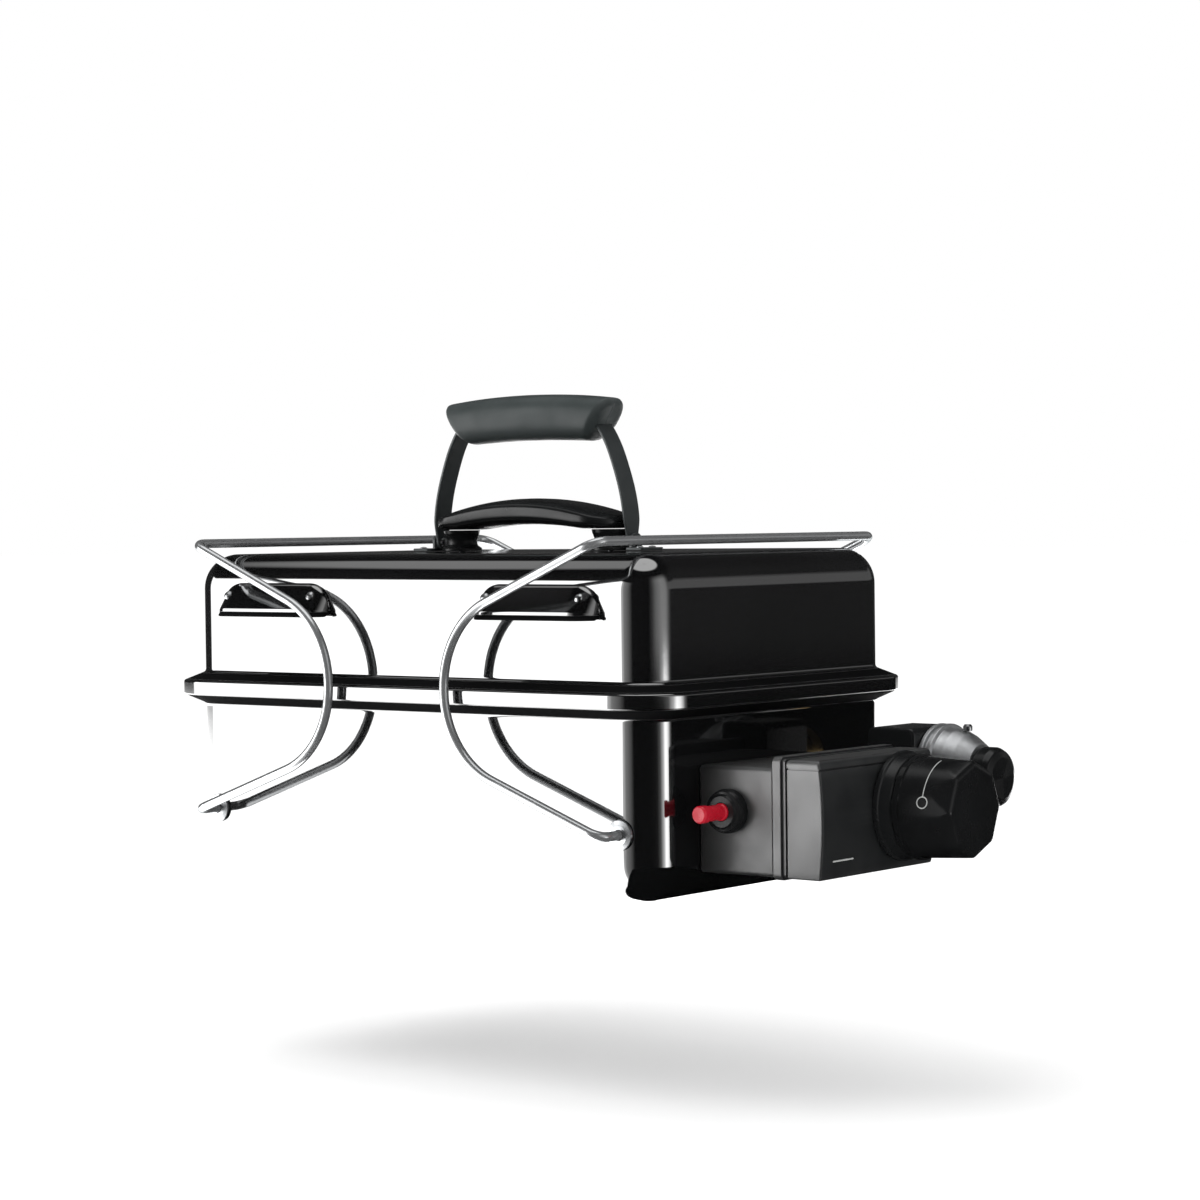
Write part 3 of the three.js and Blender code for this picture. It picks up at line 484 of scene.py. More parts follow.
def dress(made, look, body, stands_for, angle=32):
    """Shading, finish and body of a piece."""
    material, slot = FINISHES[look]
    made.data.materials.clear()
    made.data.materials.append(material)
    made.data.shade_smooth()
    made.data.set_sharp_from_angle(angle=math.radians(angle))
    weighted = made.modifiers.new("even_shading", "WEIGHTED_NORMAL")
    weighted.keep_sharp = True
    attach(made, body)
    if stands_for:
        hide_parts(*stands_for)
    return made


def piece(name, shape, look, body, *stands_for, angle=32, holes=()):
    made = mesh_object(name, shape)
    if holes:
        cut(made, *holes)
    return dress(made, look, body, stands_for, angle)


def rod(radius, low, high, axis, centre, sides=32):
    return lathe([(0, low), (radius, low), (radius, high), (0, high)], axis, centre, sides)


def turned(name, profile, steps, axis, centre, sides, look, body, *stands_for, wrap=False):
    """A turned piece: its profile's corners are rounded in steps."""
    return piece(name, lathe(rounded(profile, steps), axis, centre, sides, wrap), look, body, *stands_for)


# ---- the two tubs ----
def tub(profile):
    """A tub from a profile of (growth beyond the wall, height), outside top to inside top."""
    rings = []
    for grow, z in profile:
        outline = rectangle(WALL_X + grow, WALL_Y + grow, max(CORNER + grow, 0.6), steps=16)
        rings.append([(x, y, z) for x, y in outline])
    return loft(rings)


lid_profile = rounded([
    (-FILLET - 1, LID_TOP), (0, LID_TOP, FILLET), (0, 142.2, 3), (15.8, 136, 1.8), (15.8, 126.4, 0.7),
    (14.2, 126.4, 0.7), (14.2, 135.0, 1.2), (-SHEET, 141.2, 2), (-SHEET, LID_TOP - SHEET, FILLET - SHEET),
    (-FILLET - 1, LID_TOP - SHEET),
], steps=14)
vents = [plate(rectangle(40, 4, 3.9, (s * VENT_X, 194)), -WALL_Y - 5, -WALL_Y + 5, "Y", 0.2)
         for s in (-1, 1)]
piece("lid_shell", tub(lid_profile), "lid_enamel", "lid_body", "lid", "lid_crown", holes=vents)

bowl_profile = rounded([
    (-FILLET - 1, 0), (0, 0, FILLET), (0, 119.4, 3), (13.4, 125.3, 1.5), (13.4, 134.4, 0.6),
    (11.8, 134.4, 0.6), (11.8, 126.4, 1.2), (-SHEET, 120.5, 2), (-SHEET, SHEET, FILLET - SHEET),
    (-FILLET - 1, SHEET),
], steps=14)
bowl_holes = [plate(rectangle(10, 32, 1.5, (s * 95, 0)), -4, 8, "Z", 0.2) for s in (-1, 1)]
bowl_holes += [rod(WIRE + 0.6, -WALL_Y - 5, WALL_Y + 5, "Y", (s * LEG_X, 0, LEG_Z)) for s in (-1, 1)]
bowl_holes += [rod(12, WALL_X - 12, WALL_X + 4, "X", BURNER)]
bowl_holes += [rod(3.2, WALL_X - 12, WALL_X + 4, "X", (0, SPARK_Y, SPARK_Z))]
piece("bowl_shell", tub(bowl_profile), "bowl_enamel", "bowl_body", "bowl", holes=bowl_holes)


# ---- vent hoods ----
HOOD_MIDDLE = 120  # the pressed hood, from the lid's middle
HOOD_SHIFT = -3
HOOD_REACH = 50.4
HOOD_TALL = 21
HOOD_ROUND = 17  # its upper corners, seen from the front
HOOD_NOSE = 14  # the length over which its ends close in to the wall
HOOD_RIVET = 40  # from the hood's own middle
HOOD_ACROSS = rounded([(15, 0), (15, 3.2, 2.2), (3.4, 20.4, 4.5), (0, 21)], 6)  # from the lip up to the wall


def hood_point(side, s, deep, high, inset=0.0):
    """A point of the pressed hood: s runs -1 to 1 along it, deep and high are its cross-section's."""
    along = abs(s) * HOOD_REACH
    past = max(along - (HOOD_REACH - HOOD_ROUND), 0)
    tall = (HOOD_TALL - HOOD_ROUND + math.sqrt(max(HOOD_ROUND**2 - past**2, 0))) / HOOD_TALL
    end = max(along - (HOOD_REACH - HOOD_NOSE), 0) / HOOD_NOSE
    out = math.sqrt(max(1 - end**2, 0))
    x = side * HOOD_MIDDLE + HOOD_SHIFT + HOOD_REACH * s
    y = -WALL_Y - 0.3 - max(deep * out - inset, 0.1)
    return (x, y, HOOD_LOW + max(high * tall - inset, 0.1))


def hood(side):
    rings = []
    for k in range(81):
        s = math.sin(math.pi / 2 * (k / 40 - 1)) * 0.9995
        ring = [hood_point(side, s, deep, high) for deep, high in reversed(HOOD_ACROSS)]
        x, y, z = ring[-1]
        size = min(1.0, (-WALL_Y - y) / 4)
        for out, down in ((0.4, 0.5), (0.9, 0.9), (1.2, 1.6), (0.9, 2.4), (0.1, 2.5), (-0.6, 1.9)):
            ring.append((x, y - out * size, z - down * size))
        ring += [hood_point(side, s, deep, high, 1.2) for deep, high in HOOD_ACROSS]
        rings.append(ring)
    return loft(rings)


def hood_rivet(offset, side):
    point = Vector(hood_point(side, offset / HOOD_REACH, 8.2, 13.2))
    out = Vector((0, -17.2, 11.6)).normalized()
    profile = rounded([(0, -0.6), (2.9, -0.6), (3.3, 0.2, 0.3), (2.9, 1.1, 1), (1.4, 1.9, 1), (0, 2.0)], 4)
    head = lathe(profile, "Z", (0, 0, 0), 36)
    spin = Vector((0, 0, 1)).rotation_difference(out).to_matrix().to_4x4()
    return moved(head, Matrix.Translation(point) @ spin)


for name, side in SIDES:
    piece(f"hood_{name}", hood(side), "hood_enamel", "lid_body", f"vent_hood_{name}", angle=50)
    for where, offset in (("outer", HOOD_RIVET * side), ("inner", -HOOD_RIVET * side)):
        piece(f"rivet_{name}_{where}", hood_rivet(offset, side), "plain_steel", "lid_body",
              f"hood_rivet_{name}_{where}")


# ---- lid handle ----
def superellipse(half_u, half_v, power, count=48):
    made = []
    for k in range(count):
        a = 2 * math.pi * k / count
        c, s = math.cos(a), math.sin(a)
        made.append((
            half_u * math.copysign(abs(c) ** (2 / power), c),
            half_v * math.copysign(abs(s) ** (2 / power), s),
        ))
    return made


def lid_handle():
    """A broad arch with a crowned top, thin at both ends."""
    sag, nose, turn, crowned = 12, 4.5, 20, 1.5  # turn is the radius of its corners, seen from above
    half = HANDLE_HALF - nose
    radius = (half * half + sag * sag) / (2 * sag)
    rings = []
    for k in range(97):
        x = HANDLE_HALF * math.sin(math.pi / 2 * (k / 48 - 1)) * 0.9998
        inside = min(abs(x), half)
        top = HANDLE_TOP - radius + math.sqrt(radius**2 - inside**2)
        bottom = HANDLE_UNDER + 3.5 * max(0.0, 1 - (x / 54) ** 2)
        middle, thick = (top + bottom) / 2, (top - bottom) / 2
        if abs(x) > half:
            thick *= math.sqrt(max(1 - ((abs(x) - half) / nose) ** 2, 0.0004))
        wide = HANDLE_WIDE
        if abs(x) > HANDLE_HALF - turn:
            wide -= turn - math.sqrt(max(turn**2 - (abs(x) - HANDLE_HALF + turn) ** 2, 9))
        ring = []
        for y, z in superellipse(wide, thick, 3.4):
            crown = crowned * (1 - (y / wide) ** 2) if z > 0 else 0
            ring.append((x, y, middle + z - crowned * (z > 0) * (z / thick) + crown * max(z / thick, 0)))
        rings.append(ring)
    return loft(rings)


piece("lid_handle_arch", lid_handle(), "satin_black", "lid_body", "lid_handle", angle=60)
for name, side in SIDES:
    foot, seat = LID_TOP + 0.3, HANDLE_UNDER - 0.4
    post = [(2.6, foot), (14.5, foot, 0.4), (14.5, foot + 1.9, 0.9), (11.4, foot + 4.0, 2.5),
            (10.9, foot + 7.5, 6), (12.9, seat - 2.4, 2), (13.4, seat, 0.4), (2.6, seat)]
    turned(f"post_{name}", post, 5, "Z", (side * POST_X, 0, 0), 72, "satin_black", "lid_body",
           f"handle_post_{name}", wrap=True)
    under, tip = LID_TOP - SHEET - 0.3, 239
    screw = [(0, under - 2.8), (3.4, under - 2.4, 1), (4.8, under - 0.7, 0.5), (4.8, under, 0.1),
             (2.1, under), (2.1, tip, 0.3), (0, tip)]
    turned(f"screw_{name}", screw, 4, "Z", (side * POST_X, 0, 0), 32, "plain_steel", "lid_body",
           f"handle_screw_{name}")


# ---- carrying bail ----
STRAP_POINTS = ((BAIL_X, BAIL_Z), (BAIL_X - 0.4, 246), (85.5, 262), (80.5, 280), (71.5, 302), (60, 316.5),
                (40, 321.5), (0, 322))
STRAP_EYE = 5.5  # the radius of its round ends
STRAP_FLARE = 18  # the height over which it widens above them


def through(points, per_stretch=8):
    """A smooth line through points, one Catmull-Rom stretch between each two."""
    made = []
    for i in range(len(points) - 1):
        a, b = points[max(i - 1, 0)], points[i]
        c, d = points[i + 1], points[min(i + 2, len(points) - 1)]
        for k in range(per_stretch):
            t = k / per_stretch
            made.append(tuple(
                0.5 * (2 * q + (r - p) * t + (2 * p - 5 * q + 4 * r - s) * t * t
                       + (3 * q - p - 3 * r + s) * t**3)
                for p, q, r, s in zip(a, b, c, d)
            ))
    made.append(points[-1])
    return made


def strap_line():
    right = [(BAIL_X, BAIL_Z - below) for below in (STRAP_EYE, 5.2, 4, 2)]
    right += through(STRAP_POINTS)
    return right + [(-x, z) for x, z in reversed(right[:-1])]


def strap_shape(wide, thick, taper=True):
    scales = []
    for x, z in strap_line():
        if not taper:
            scales.append((1, 1))
        elif z < BAIL_Z:
            scales.append((math.sqrt(max(STRAP_EYE**2 - (BAIL_Z - z) ** 2, 0.3)) / (wide / 2), 1))
        else:
            t = min(1.0, (z - BAIL_Z) / STRAP_FLARE)
            scales.append(((STRAP_EYE + (wide / 2 - STRAP_EYE) * t * t * (3 - 2 * t)) / (wide / 2), 1))
    section = rectangle(wide / 2, thick / 2, min(0.9, thick / 2.2), steps=4)
    return swept([(x, 0, z) for x, z in strap_line()], section, scales)


strap_holes = [rod(2.9, s * BAIL_X - 5, s * BAIL_X + 5, "X", (0, 0, BAIL_Z)) for s in (-1, 1)]
piece("carrying_strap", strap_shape(STRAP_WIDE, STRAP_THICK), "strap_coat", "bail_body", "bail_strap",
      holes=strap_holes, angle=40)


def grip_half(front):
    """Half of the moulded grip, split lengthways: ends slant outwards to the top and are softly rounded."""
    reach_low, slant, nose, depth, power = 58, 21, 5.0, 17, 2.5
    side = -1 if front else 1
    rings = []
    stations = [(-1, t) for t in (0, 0.15, 0.4, 0.7, 1)] + [(k / 20, 1) for k in range(-19, 20)]
    stations += [(1, t) for t in (1, 0.7, 0.4, 0.15, 0)]
    for s, t in stations:
        size = 0.62 + 0.38 * math.sqrt(1 - (1 - t) ** 2)
        pull = nose * (1 - t) - nose
        top = GRIP_HIGH - 4.0 * s * s
        bottom = GRIP_LOW + 1.6 * (1 - s * s)
        middle, half = (top + bottom) / 2, (top - bottom) / 2
        ring = []
        for k in range(25):
            a = math.pi / 2 + math.pi * k / 24
            c, n = abs(math.cos(a)), math.sin(a)
            deep = depth * c ** (2 / power) * size
            up = half * math.copysign(abs(n) ** (2 / power), n) * size
            deep *= 1 - 0.10 * max(-up / half, 0)
            share = (middle + up - GRIP_LOW) / (GRIP_HIGH - GRIP_LOW)
            reach = reach_low + slant * share + pull
            ring.append((s * reach, side * (0.15 + deep), middle + up))
        rings.append(ring)
    return loft(rings)


for name, front in (("front", True), ("back", False)):
    piece(f"grip_{name}", grip_half(front), "grip_rubber", "bail_body", f"grip_{name}_half",
          holes=[strap_shape(STRAP_WIDE + 0.8, STRAP_THICK + 0.7, taper=False)], angle=45)

for name, side in SIDES:
    tab = BAIL_X + STRAP_THICK / 2 + 0.9
    low = LID_TOP + 0.3
    corners = [(-6, low, 0), (6, low, 0), (6, BAIL_Z + 6, 5.6), (-6, BAIL_Z + 6, 5.6)]
    near, far = sorted((side * tab, side * (tab + 2)))
    upright = plate(rounded(corners, 8, closed=True), near, far, "X", 0.3)
    foot = plate(rectangle(8.5, 12, 3, (side * (tab + 8.5), 0)), low, low + 2, "Z", 0.4)
    hole = rod(2.9, side * tab - 5, side * tab + 5, "X", (0, 0, BAIL_Z))
    piece(f"bracket_{name}", together(upright, foot), "strap_coat", "lid_body", f"bail_bracket_{name}",
          holes=[hole])
    rivet = [(0, low + 1.5), (2.6, low + 1.5), (2.4, low + 2.7, 0.6), (0, low + 3.2)]
    for k, y in enumerate((-7, 7)):
        turned(f"bracket_rivet_{name}_{k}", rivet, 3, "Z", (side * (tab + 10), y, 0), 24, "plain_steel",
               "lid_body")
    inner, outer = BAIL_X - STRAP_THICK / 2 - 0.3, tab + 2.3
    pin = [(0, inner - 1.8), (3.4, inner - 1.6, 0.6), (3.9, inner, 0.2), (2.5, inner), (2.5, outer),
           (3.9, outer, 0.2), (3.4, outer + 1.6, 0.6), (0, outer + 1.8)]
    pin = [(radius, side * along) for radius, along in rounded(pin, 3)]
    piece(f"pivot_pin_{name}", lathe(pin, "X", (0, 0, BAIL_Z), 32), "plain_steel", "lid_body",
          f"bail_pin_{name}")


# ---- folding legs ----
def leg(side):
    run = LEG_X - BOW_X
    low = LEG_Z + run * math.tan(math.radians(SLOPE_LOW))
    high = LEG_TOP - run * math.tan(math.radians(SLOPE_HIGH))

    def half(end):
        return [
            (side * LEG_X, end * (WALL_Y - 10), LEG_Z, 0),
            (side * LEG_X, end * LEG_PLANE, LEG_Z, 9),
            (side * BOW_X, end * LEG_PLANE, low, BOW_RADIUS),
            (side * BOW_X, end * LEG_PLANE, high, BOW_RADIUS),
            (side * LEG_X, end * LEG_PLANE, LEG_TOP, 11),
        ]

    return wire(bent(half(-1) + half(1)[::-1], 3), WIRE, 24)


for name, side in SIDES:
    body = f"{name}_leg_body"
    piece(f"leg_wire_{name}", leg(side), "chrome", body, f"leg_{name}", angle=50)
    for where, end in (("front", -1), ("back", 1)):
        near, far = end * (WALL_Y + 0.3), end * (WALL_Y + 1.9)
        ring = [(WIRE + 0.5, near), (10, near, 0.3), (9.8, far, 0.6), (6.4, far + end * 0.7, 1.5),
                (WIRE + 0.5, far + end * 0.7, 0.3)]
        turned(f"washer_{name}_{where}", ring, 4, "Y", (side * LEG_X, 0, LEG_Z), 48, "plain_steel",
               "bowl_body", f"leg_washer_{name}_{where}", wrap=True)
        near, far = end * (WALL_Y - SHEET - 1), end * (WALL_Y - SHEET - 4)
        ring = [(WIRE + 0.3, near), (7, near, 0.4), (6.2, far, 1), (WIRE + 0.3, far, 0.3)]
        turned(f"retainer_{name}_{where}", ring, 4, "Y", (side * LEG_X, 0, LEG_Z), 36, "plain_steel", body,
               f"leg_cap_{name}_{where}", wrap=True)


# ---- inside the bowl ----
def box_shape(low, high, edge=0.4):
    half_x, half_y = (high[0] - low[0]) / 2, (high[1] - low[1]) / 2
    middle = ((high[0] + low[0]) / 2, (high[1] + low[1]) / 2)
    return plate(rectangle(half_x, half_y, min(edge * 1.5, half_x * 0.9, half_y * 0.9), middle, 3),
                 low[2], high[2], "Z", min(edge, (high[2] - low[2]) * 0.4), 2)


for name, side in SIDES:
    face = WALL_X - SHEET - 0.3
    shapes = []
    steps = ((42, 70, 114.6, 1.5), (100, 98, 116, 1.5), (42, 68.5, 70, 14), (100, 114.5, 116, 14))
    for y, z0, z1, inner in steps:
        x0, x1 = sorted((side * (face - inner), side * face))
        shapes.append(box_shape((x0, -y, z0), (x1, y, z1)))
    piece(f"ledge_{name}", together(*shapes), "plain_steel", "bowl_body", f"end_ledge_{name}")


def grate():
    in_x, in_y, z, pitch, bar, tie = 196, 120, 119.6, 18.4, 2.4, 2.1
    frame_line = bent([(0, -in_y, z, 0), (in_x, -in_y, z, 9), (in_x, in_y, z, 9), (-in_x, in_y, z, 9),
                       (-in_x, -in_y, z, 9), (0, -in_y, z, 0)], 15)
    shapes = [wire(frame_line, 3, 16)]
    for k in range(-10, 11):
        shapes.append(wire([(pitch * k, y, z + 0.9) for y in (-in_y, -40, 40, in_y)], bar, 12))
    for y in (-62, 0, 62):
        shapes.append(wire([(x, y, z - 0.6) for x in (-in_x, -60, 60, in_x)], tie, 12))
    return together(*shapes)


piece("grate", grate(), "cooking_enamel", "grate_body", "cooking_grate", angle=50)

roof = [(-34, 70.4, 0.3), (-34, 71.9, 0.3), (0, 88, 4), (34, 71.9, 0.3), (34, 70.4, 0.3), (0, 86.3, 3)]
piece("drip_roof", plate(rounded(roof[::-1], 5, closed=True), -WALL_X + 6, WALL_X - 6, "X", 0.3, 2),
      "cooking_enamel", "bowl_body", "heat_bar")

left_end, right_end = -WALL_X + 22, WALL_X + 26
tube = rounded([(0, left_end), (11, left_end, 3), (11, right_end, 0.3), (9.8, right_end, 0.3),
                (9.8, left_end + 3, 2), (0, left_end + 3)], 5)
ports = [rod(1.1, -16, 16, "Y", (x, 0, BURNER_Z + 3), 10) for x in range(-165, 175, 10)]
piece("burner_pipe", lathe(tube, "X", BURNER, 48), "plain_steel", "bowl_body", "burner_tube",
      holes=[together(*ports)])

x = -WALL_X + 33
holder = together(box_shape((x, -16, 1.9), (x + 22, 16, 3.4)),
                  box_shape((x, -16, 1.9), (x + 1.5, 16, BURNER_Z + 16)))
piece("burner_holder", holder, "plain_steel", "bowl_body", "burner_bracket",
      holes=[rod(11.4, x - 2, x + 4, "X", BURNER)])

insulator = [(0, 176), (2.2, 176, 0.3), (3, 178, 0.4), (3, 192, 0.3), (4.4, 193, 0.5), (4.4, 198, 0.5),
             (2.4, 199, 0.3), (2.4, 206, 0.3), (0, 206)]
turned("spark_insulator", insulator, 3, "X", (0, SPARK_Y, SPARK_Z), 32, "white_ceramic", "bowl_body",
       "electrode_insulator")
pin_line = [(175.6, SPARK_Y, SPARK_Z, 0), (162, SPARK_Y, SPARK_Z, 4), (156, SPARK_Y + 12, SPARK_Z + 5, 0)]
piece("spark_pin", wire(bent(pin_line, 10), 0.9, 12), "plain_steel", "bowl_body", "electrode_pin")


# ---- igniter ----
igniter = (IGNITER_X, 0, IGNITER_Z)
case = [(6.2, BOX_FRONT + 3), (10.5, BOX_FRONT + 3, 0.5), (10.5, BOX_FRONT + 40, 1.5), (0, BOX_FRONT + 40),
        (0, BOX_FRONT + 37.6), (6.2, BOX_FRONT + 37.6)]
turned("igniter_case", case, 4, "Y", igniter, 40, "satin_black", "bowl_body", "igniter_body", wrap=True)
collar = [(6.2, BOX_FRONT - 10), (10.2, BOX_FRONT - 10, 0.8), (11.2, BOX_FRONT - 8.6, 1),
          (13.4, BOX_FRONT - 8.0, 1.2), (14.4, BOX_FRONT - 5, 1), (14.4, BOX_FRONT - 0.3, 0.4),
          (6.2, BOX_FRONT - 0.3)]
turned("igniter_ring", collar, 5, "Y", igniter, 64, "knob_black", "bowl_body", "igniter_collar", wrap=True)
tip = BOX_FRONT - 34
button = [(0, tip + 0.2), (4.9, tip, 0.9), (5.7, tip + 1.2, 0.5), (5.7, tip + 7, 0.7), (5.0, tip + 7.6, 0.3),
          (5.0, BOX_FRONT - 12, 0.2), (5.7, BOX_FRONT - 11, 0.3), (5.7, BOX_FRONT + 14, 0.3),
          (5.1, BOX_FRONT + 14), (5.1, BOX_FRONT), (0, BOX_FRONT)]
turned("push_button", button, 4, "Y", igniter, 48, "igniter_red", "button_body", "igniter_button")


def spring():
    turns, sides, length, radius = 4, 24, 29.4, 4
    coil = []
    for k in range(turns * sides + 1):
        a = 2 * math.pi * k / sides
        along = BOX_FRONT + 7 + length * k / (turns * sides)
        coil.append((IGNITER_X + radius * math.cos(a), along, IGNITER_Z + radius * math.sin(a)))
    return wire(coil, 0.6, 10)


piece("return_spring", spring(), "plain_steel", "bowl_body", "igniter_spring", angle=60)
lead_line = bent([(IGNITER_X, BOX_FRONT + 40.6, IGNITER_Z, 0), (IGNITER_X, -36, IGNITER_Z, 6),
                  (IGNITER_X, SPARK_Y, SPARK_Z, 8), (206.5, SPARK_Y, SPARK_Z, 0)], 10)
piece("spark_lead", wire(lead_line, 1.5, 14), "red_lead", "bowl_body", "igniter_lead")


# ---- control unit ----
mid_y, half_y = (BOX_FRONT + BOX_BACK) / 2, (BOX_BACK - BOX_FRONT) / 2
mid_z, half_z = (BOX_LOW + BOX_HIGH) / 2, (BOX_HIGH - BOX_LOW) / 2
middle = (mid_y, mid_z)
case_holes = [plate(rectangle(half_y - 2, half_z - 2, 2, middle), WALL_X - 3, BOX_END - 2, "X", 0.5),
              rod(11, BOX_FRONT - 4, BOX_FRONT + 6, "Y", igniter),
              rod(8, BOX_END - 6, BOX_END + 4, "X", BURNER)]
piece("control_case", plate(rectangle(half_y, half_z, 3, middle), WALL_X + 0.3, BOX_END, "X"),
      "textured_paint", "bowl_body", "control_box", holes=case_holes)


def stepped(outline, steps, axis):
    """An outline carried along an axis and grown or shrunk at each step of (place, growth)."""
    return loft([[laid(axis, u, v, along) for u, v in grown(outline, amount)] for along, amount in steps])


low, high = BOX_LOW - 1.5, BOX_HIGH + 7.5
band = rectangle(half_y + 0.8, (high - low) / 2, 4, (mid_y, (high + low) / 2))
steps = [(BOX_END + 0.3, -0.8), (BOX_END + 0.5, -0.3), (BOX_END + 1.0, 0), (BOX_END + 6.6, 0),
         (BOX_END + 7.0, -0.3), (BOX_END + 7.2, -1.6), (BOX_END + 9.5, -1.6)]
piece("case_flange", stepped(band, steps, "X"), "textured_paint", "bowl_body", "casing_flange",
      holes=[rod(12, BOX_END - 2, FLANGE_END + 2, "X", BURNER)])


def housing():
    """The valve housing: its end face bulges, and a seam runs round below its top lip."""
    start, low, high, seam = FLANGE_END + 1.2, BOX_LOW, BOX_HIGH + 6, BOX_HIGH - 0.6
    levels = [(low, -1.2), (low + 0.3, -0.5), (low + 1.2, 0)]
    levels += [(low + 1.2 + (seam - low - 1.2) * k / 16, 0) for k in range(1, 17)]
    levels += [(seam + 0.15, -0.9), (seam + 1.1, -0.9), (seam + 1.25, 0.3), (seam + 3.4, 0.35),
               (seam + 5.0, -0.3), (seam + 6.0, -1.3), (high, -2.6)]
    rings = []
    for z, amount in levels:
        t = min(max((z - low) / (high - 3 - low), 0), 1)
        end = HOUSING_END - 2.5 + 10 * t * (1 - t)
        outline = rectangle((end - start) / 2, half_y, 1.6, ((end + start) / 2, mid_y), 5)
        rings.append([(x, y, z) for x, y in grown(outline, amount)])
    return loft(rings)


knob_centre = (0, KNOB_Y, KNOB_Z)
inside = box_shape((FLANGE_END - 2, BOX_FRONT + 2.4, BOX_LOW + 2.4),
                   (HOUSING_END - 6, BOX_BACK - 2.4, BOX_HIGH + 3))
piece("valve_case", housing(), "textured_paint", "bowl_body", "valve_housing",
      holes=[inside, rod(7, HOUSING_END - 12, HOUSING_END + 4, "X", knob_centre)])

start, end = HOUSING_END + 0.4, KNOB_START - 1.2
bezel = [(9, start), (36, start, 0.5), (36, start + 3.2, 0.8), (34.6, start + 4, 0.5), (33.6, end - 1, 0.8),
         (32.4, end, 0.4), (9, end)]
turned("knob_collar", bezel, 4, "X", knob_centre, 96, "satin_black", "bowl_body", "knob_bezel", wrap=True)
KNOB_SIDES = 192
KNOB_SKIRT = 4.5  # the wider ring at its back
KNOB_CLOSING = 22  # the length over which its flats close in to the front


def knob_radius(x, angle):
    """The knob's outline at a place along it: round at the back, eight flats that close in to the front."""
    along = x - KNOB_START
    if along < KNOB_SKIRT:
        round_radius = 34.6 - 0.5 * max(0.0, 0.8 - along) ** 2
    else:
        round_radius = 33.2 - 0.055 * (along - KNOB_SKIRT)
    closing = max(0.0, (x - (KNOB_END - KNOB_CLOSING)) / KNOB_CLOSING)
    flat = 33.4 - 3.2 * closing - 1.6 * closing**2
    offset = (math.degrees(angle) % 45) - 22.5
    return min(round_radius, flat / math.cos(math.radians(offset)))


def knob_ring(x, inset, outline_at):
    """A ring of points at x, with the outline that the knob has at outline_at."""
    turns = [2 * math.pi * k / KNOB_SIDES for k in range(KNOB_SIDES)]
    return [turned_about("X", knob_radius(outline_at, a) - inset, x, a, knob_centre) for a in turns]


def knob():
    places = [KNOB_START + d for d in (0, 0.25, 0.8, 2, 3.6, 4.2, 4.5, 4.9, 6, 10, 14, 18, 20.5)]
    places += [KNOB_END - KNOB_CLOSING + 19.5 * k / 12 for k in range(1, 13)]
    rings = [knob_ring(x, 0.6 if x == KNOB_START else 0, x) for x in places]
    for inset, back in ((0.5, 1.6), (1.4, 0.7), (2.8, 0.15), (4.5, 0)):
        rings.append(knob_ring(KNOB_END - back, inset, KNOB_END - 2.5))
    return loft(rings)


piece("valve_knob", knob(), "knob_black", "knob_body", "control_knob", angle=24,
      holes=[rod(30, KNOB_START - 4, KNOB_START + 8, "X", knob_centre),
             rod(4.2, KNOB_START + 4, KNOB_START + 24, "X", knob_centre)])


def knob_pointer():
    """The printed line over the drum and the small ring it ends in."""
    x, ring_size, from_ring, to_end = 342.5, 3.7, 17.2, 75
    line, ring = [], []
    for k in range(29):
        angle = math.radians(180 - (from_ring + (to_end - from_ring) * k / 28))
        line.append(turned_about("X", knob_radius(x, angle) + 0.02, x, angle, knob_centre))
    for k in range(33):
        turn = 2 * math.pi * k / 32
        place = x + ring_size * math.cos(turn)
        angle = math.radians(180 - 10.7) - ring_size * math.sin(turn) / 32.5
        ring.append(turned_about("X", knob_radius(place, angle) + 0.02, place, angle, knob_centre))
    return together(wire(line, 0.32, 8), wire(ring, 0.38, 8))


piece("knob_pointer", knob_pointer(), "marking_white", "knob_body")
start, end = HOUSING_END - 12, KNOB_START + 23
stem = [(0, start), (3.8, start, 0.4), (3.8, end, 0.6), (0, end)]
turned("knob_spindle", stem, 3, "X", knob_centre, 32, "turned_brass", "knob_body", "valve_stem")

valve = together(
    box_shape((FLANGE_END + 3, KNOB_Y - 13, BURNER_Z - 14),
              (HOUSING_END - 13, KNOB_Y + 13, KNOB_Z + 12), 1.5),
    rod(6, BOX_END - 16, FLANGE_END + 4, "X", BURNER))
piece("valve_block", valve, "turned_brass", "bowl_body", "gas_valve")
jet = [(0, BOX_END - 31), (1.2, BOX_END - 31, 0.2), (3.5, BOX_END - 27, 0.5), (5, BOX_END - 25, 0.5),
       (5, BOX_END - 17, 0.3), (0, BOX_END - 17)]
turned("gas_jet", jet, 3, "X", BURNER, 32, "turned_brass", "bowl_body", "gas_orifice")

# A short pale rod low on the housing's end face: a painted highlight line.
piece("painted_highlight_line", rod(0.55, -76, -53.4, "Y", (HOUSING_END - 1.1, 0, 29.5), 12), "marking_white",
      "bowl_body")

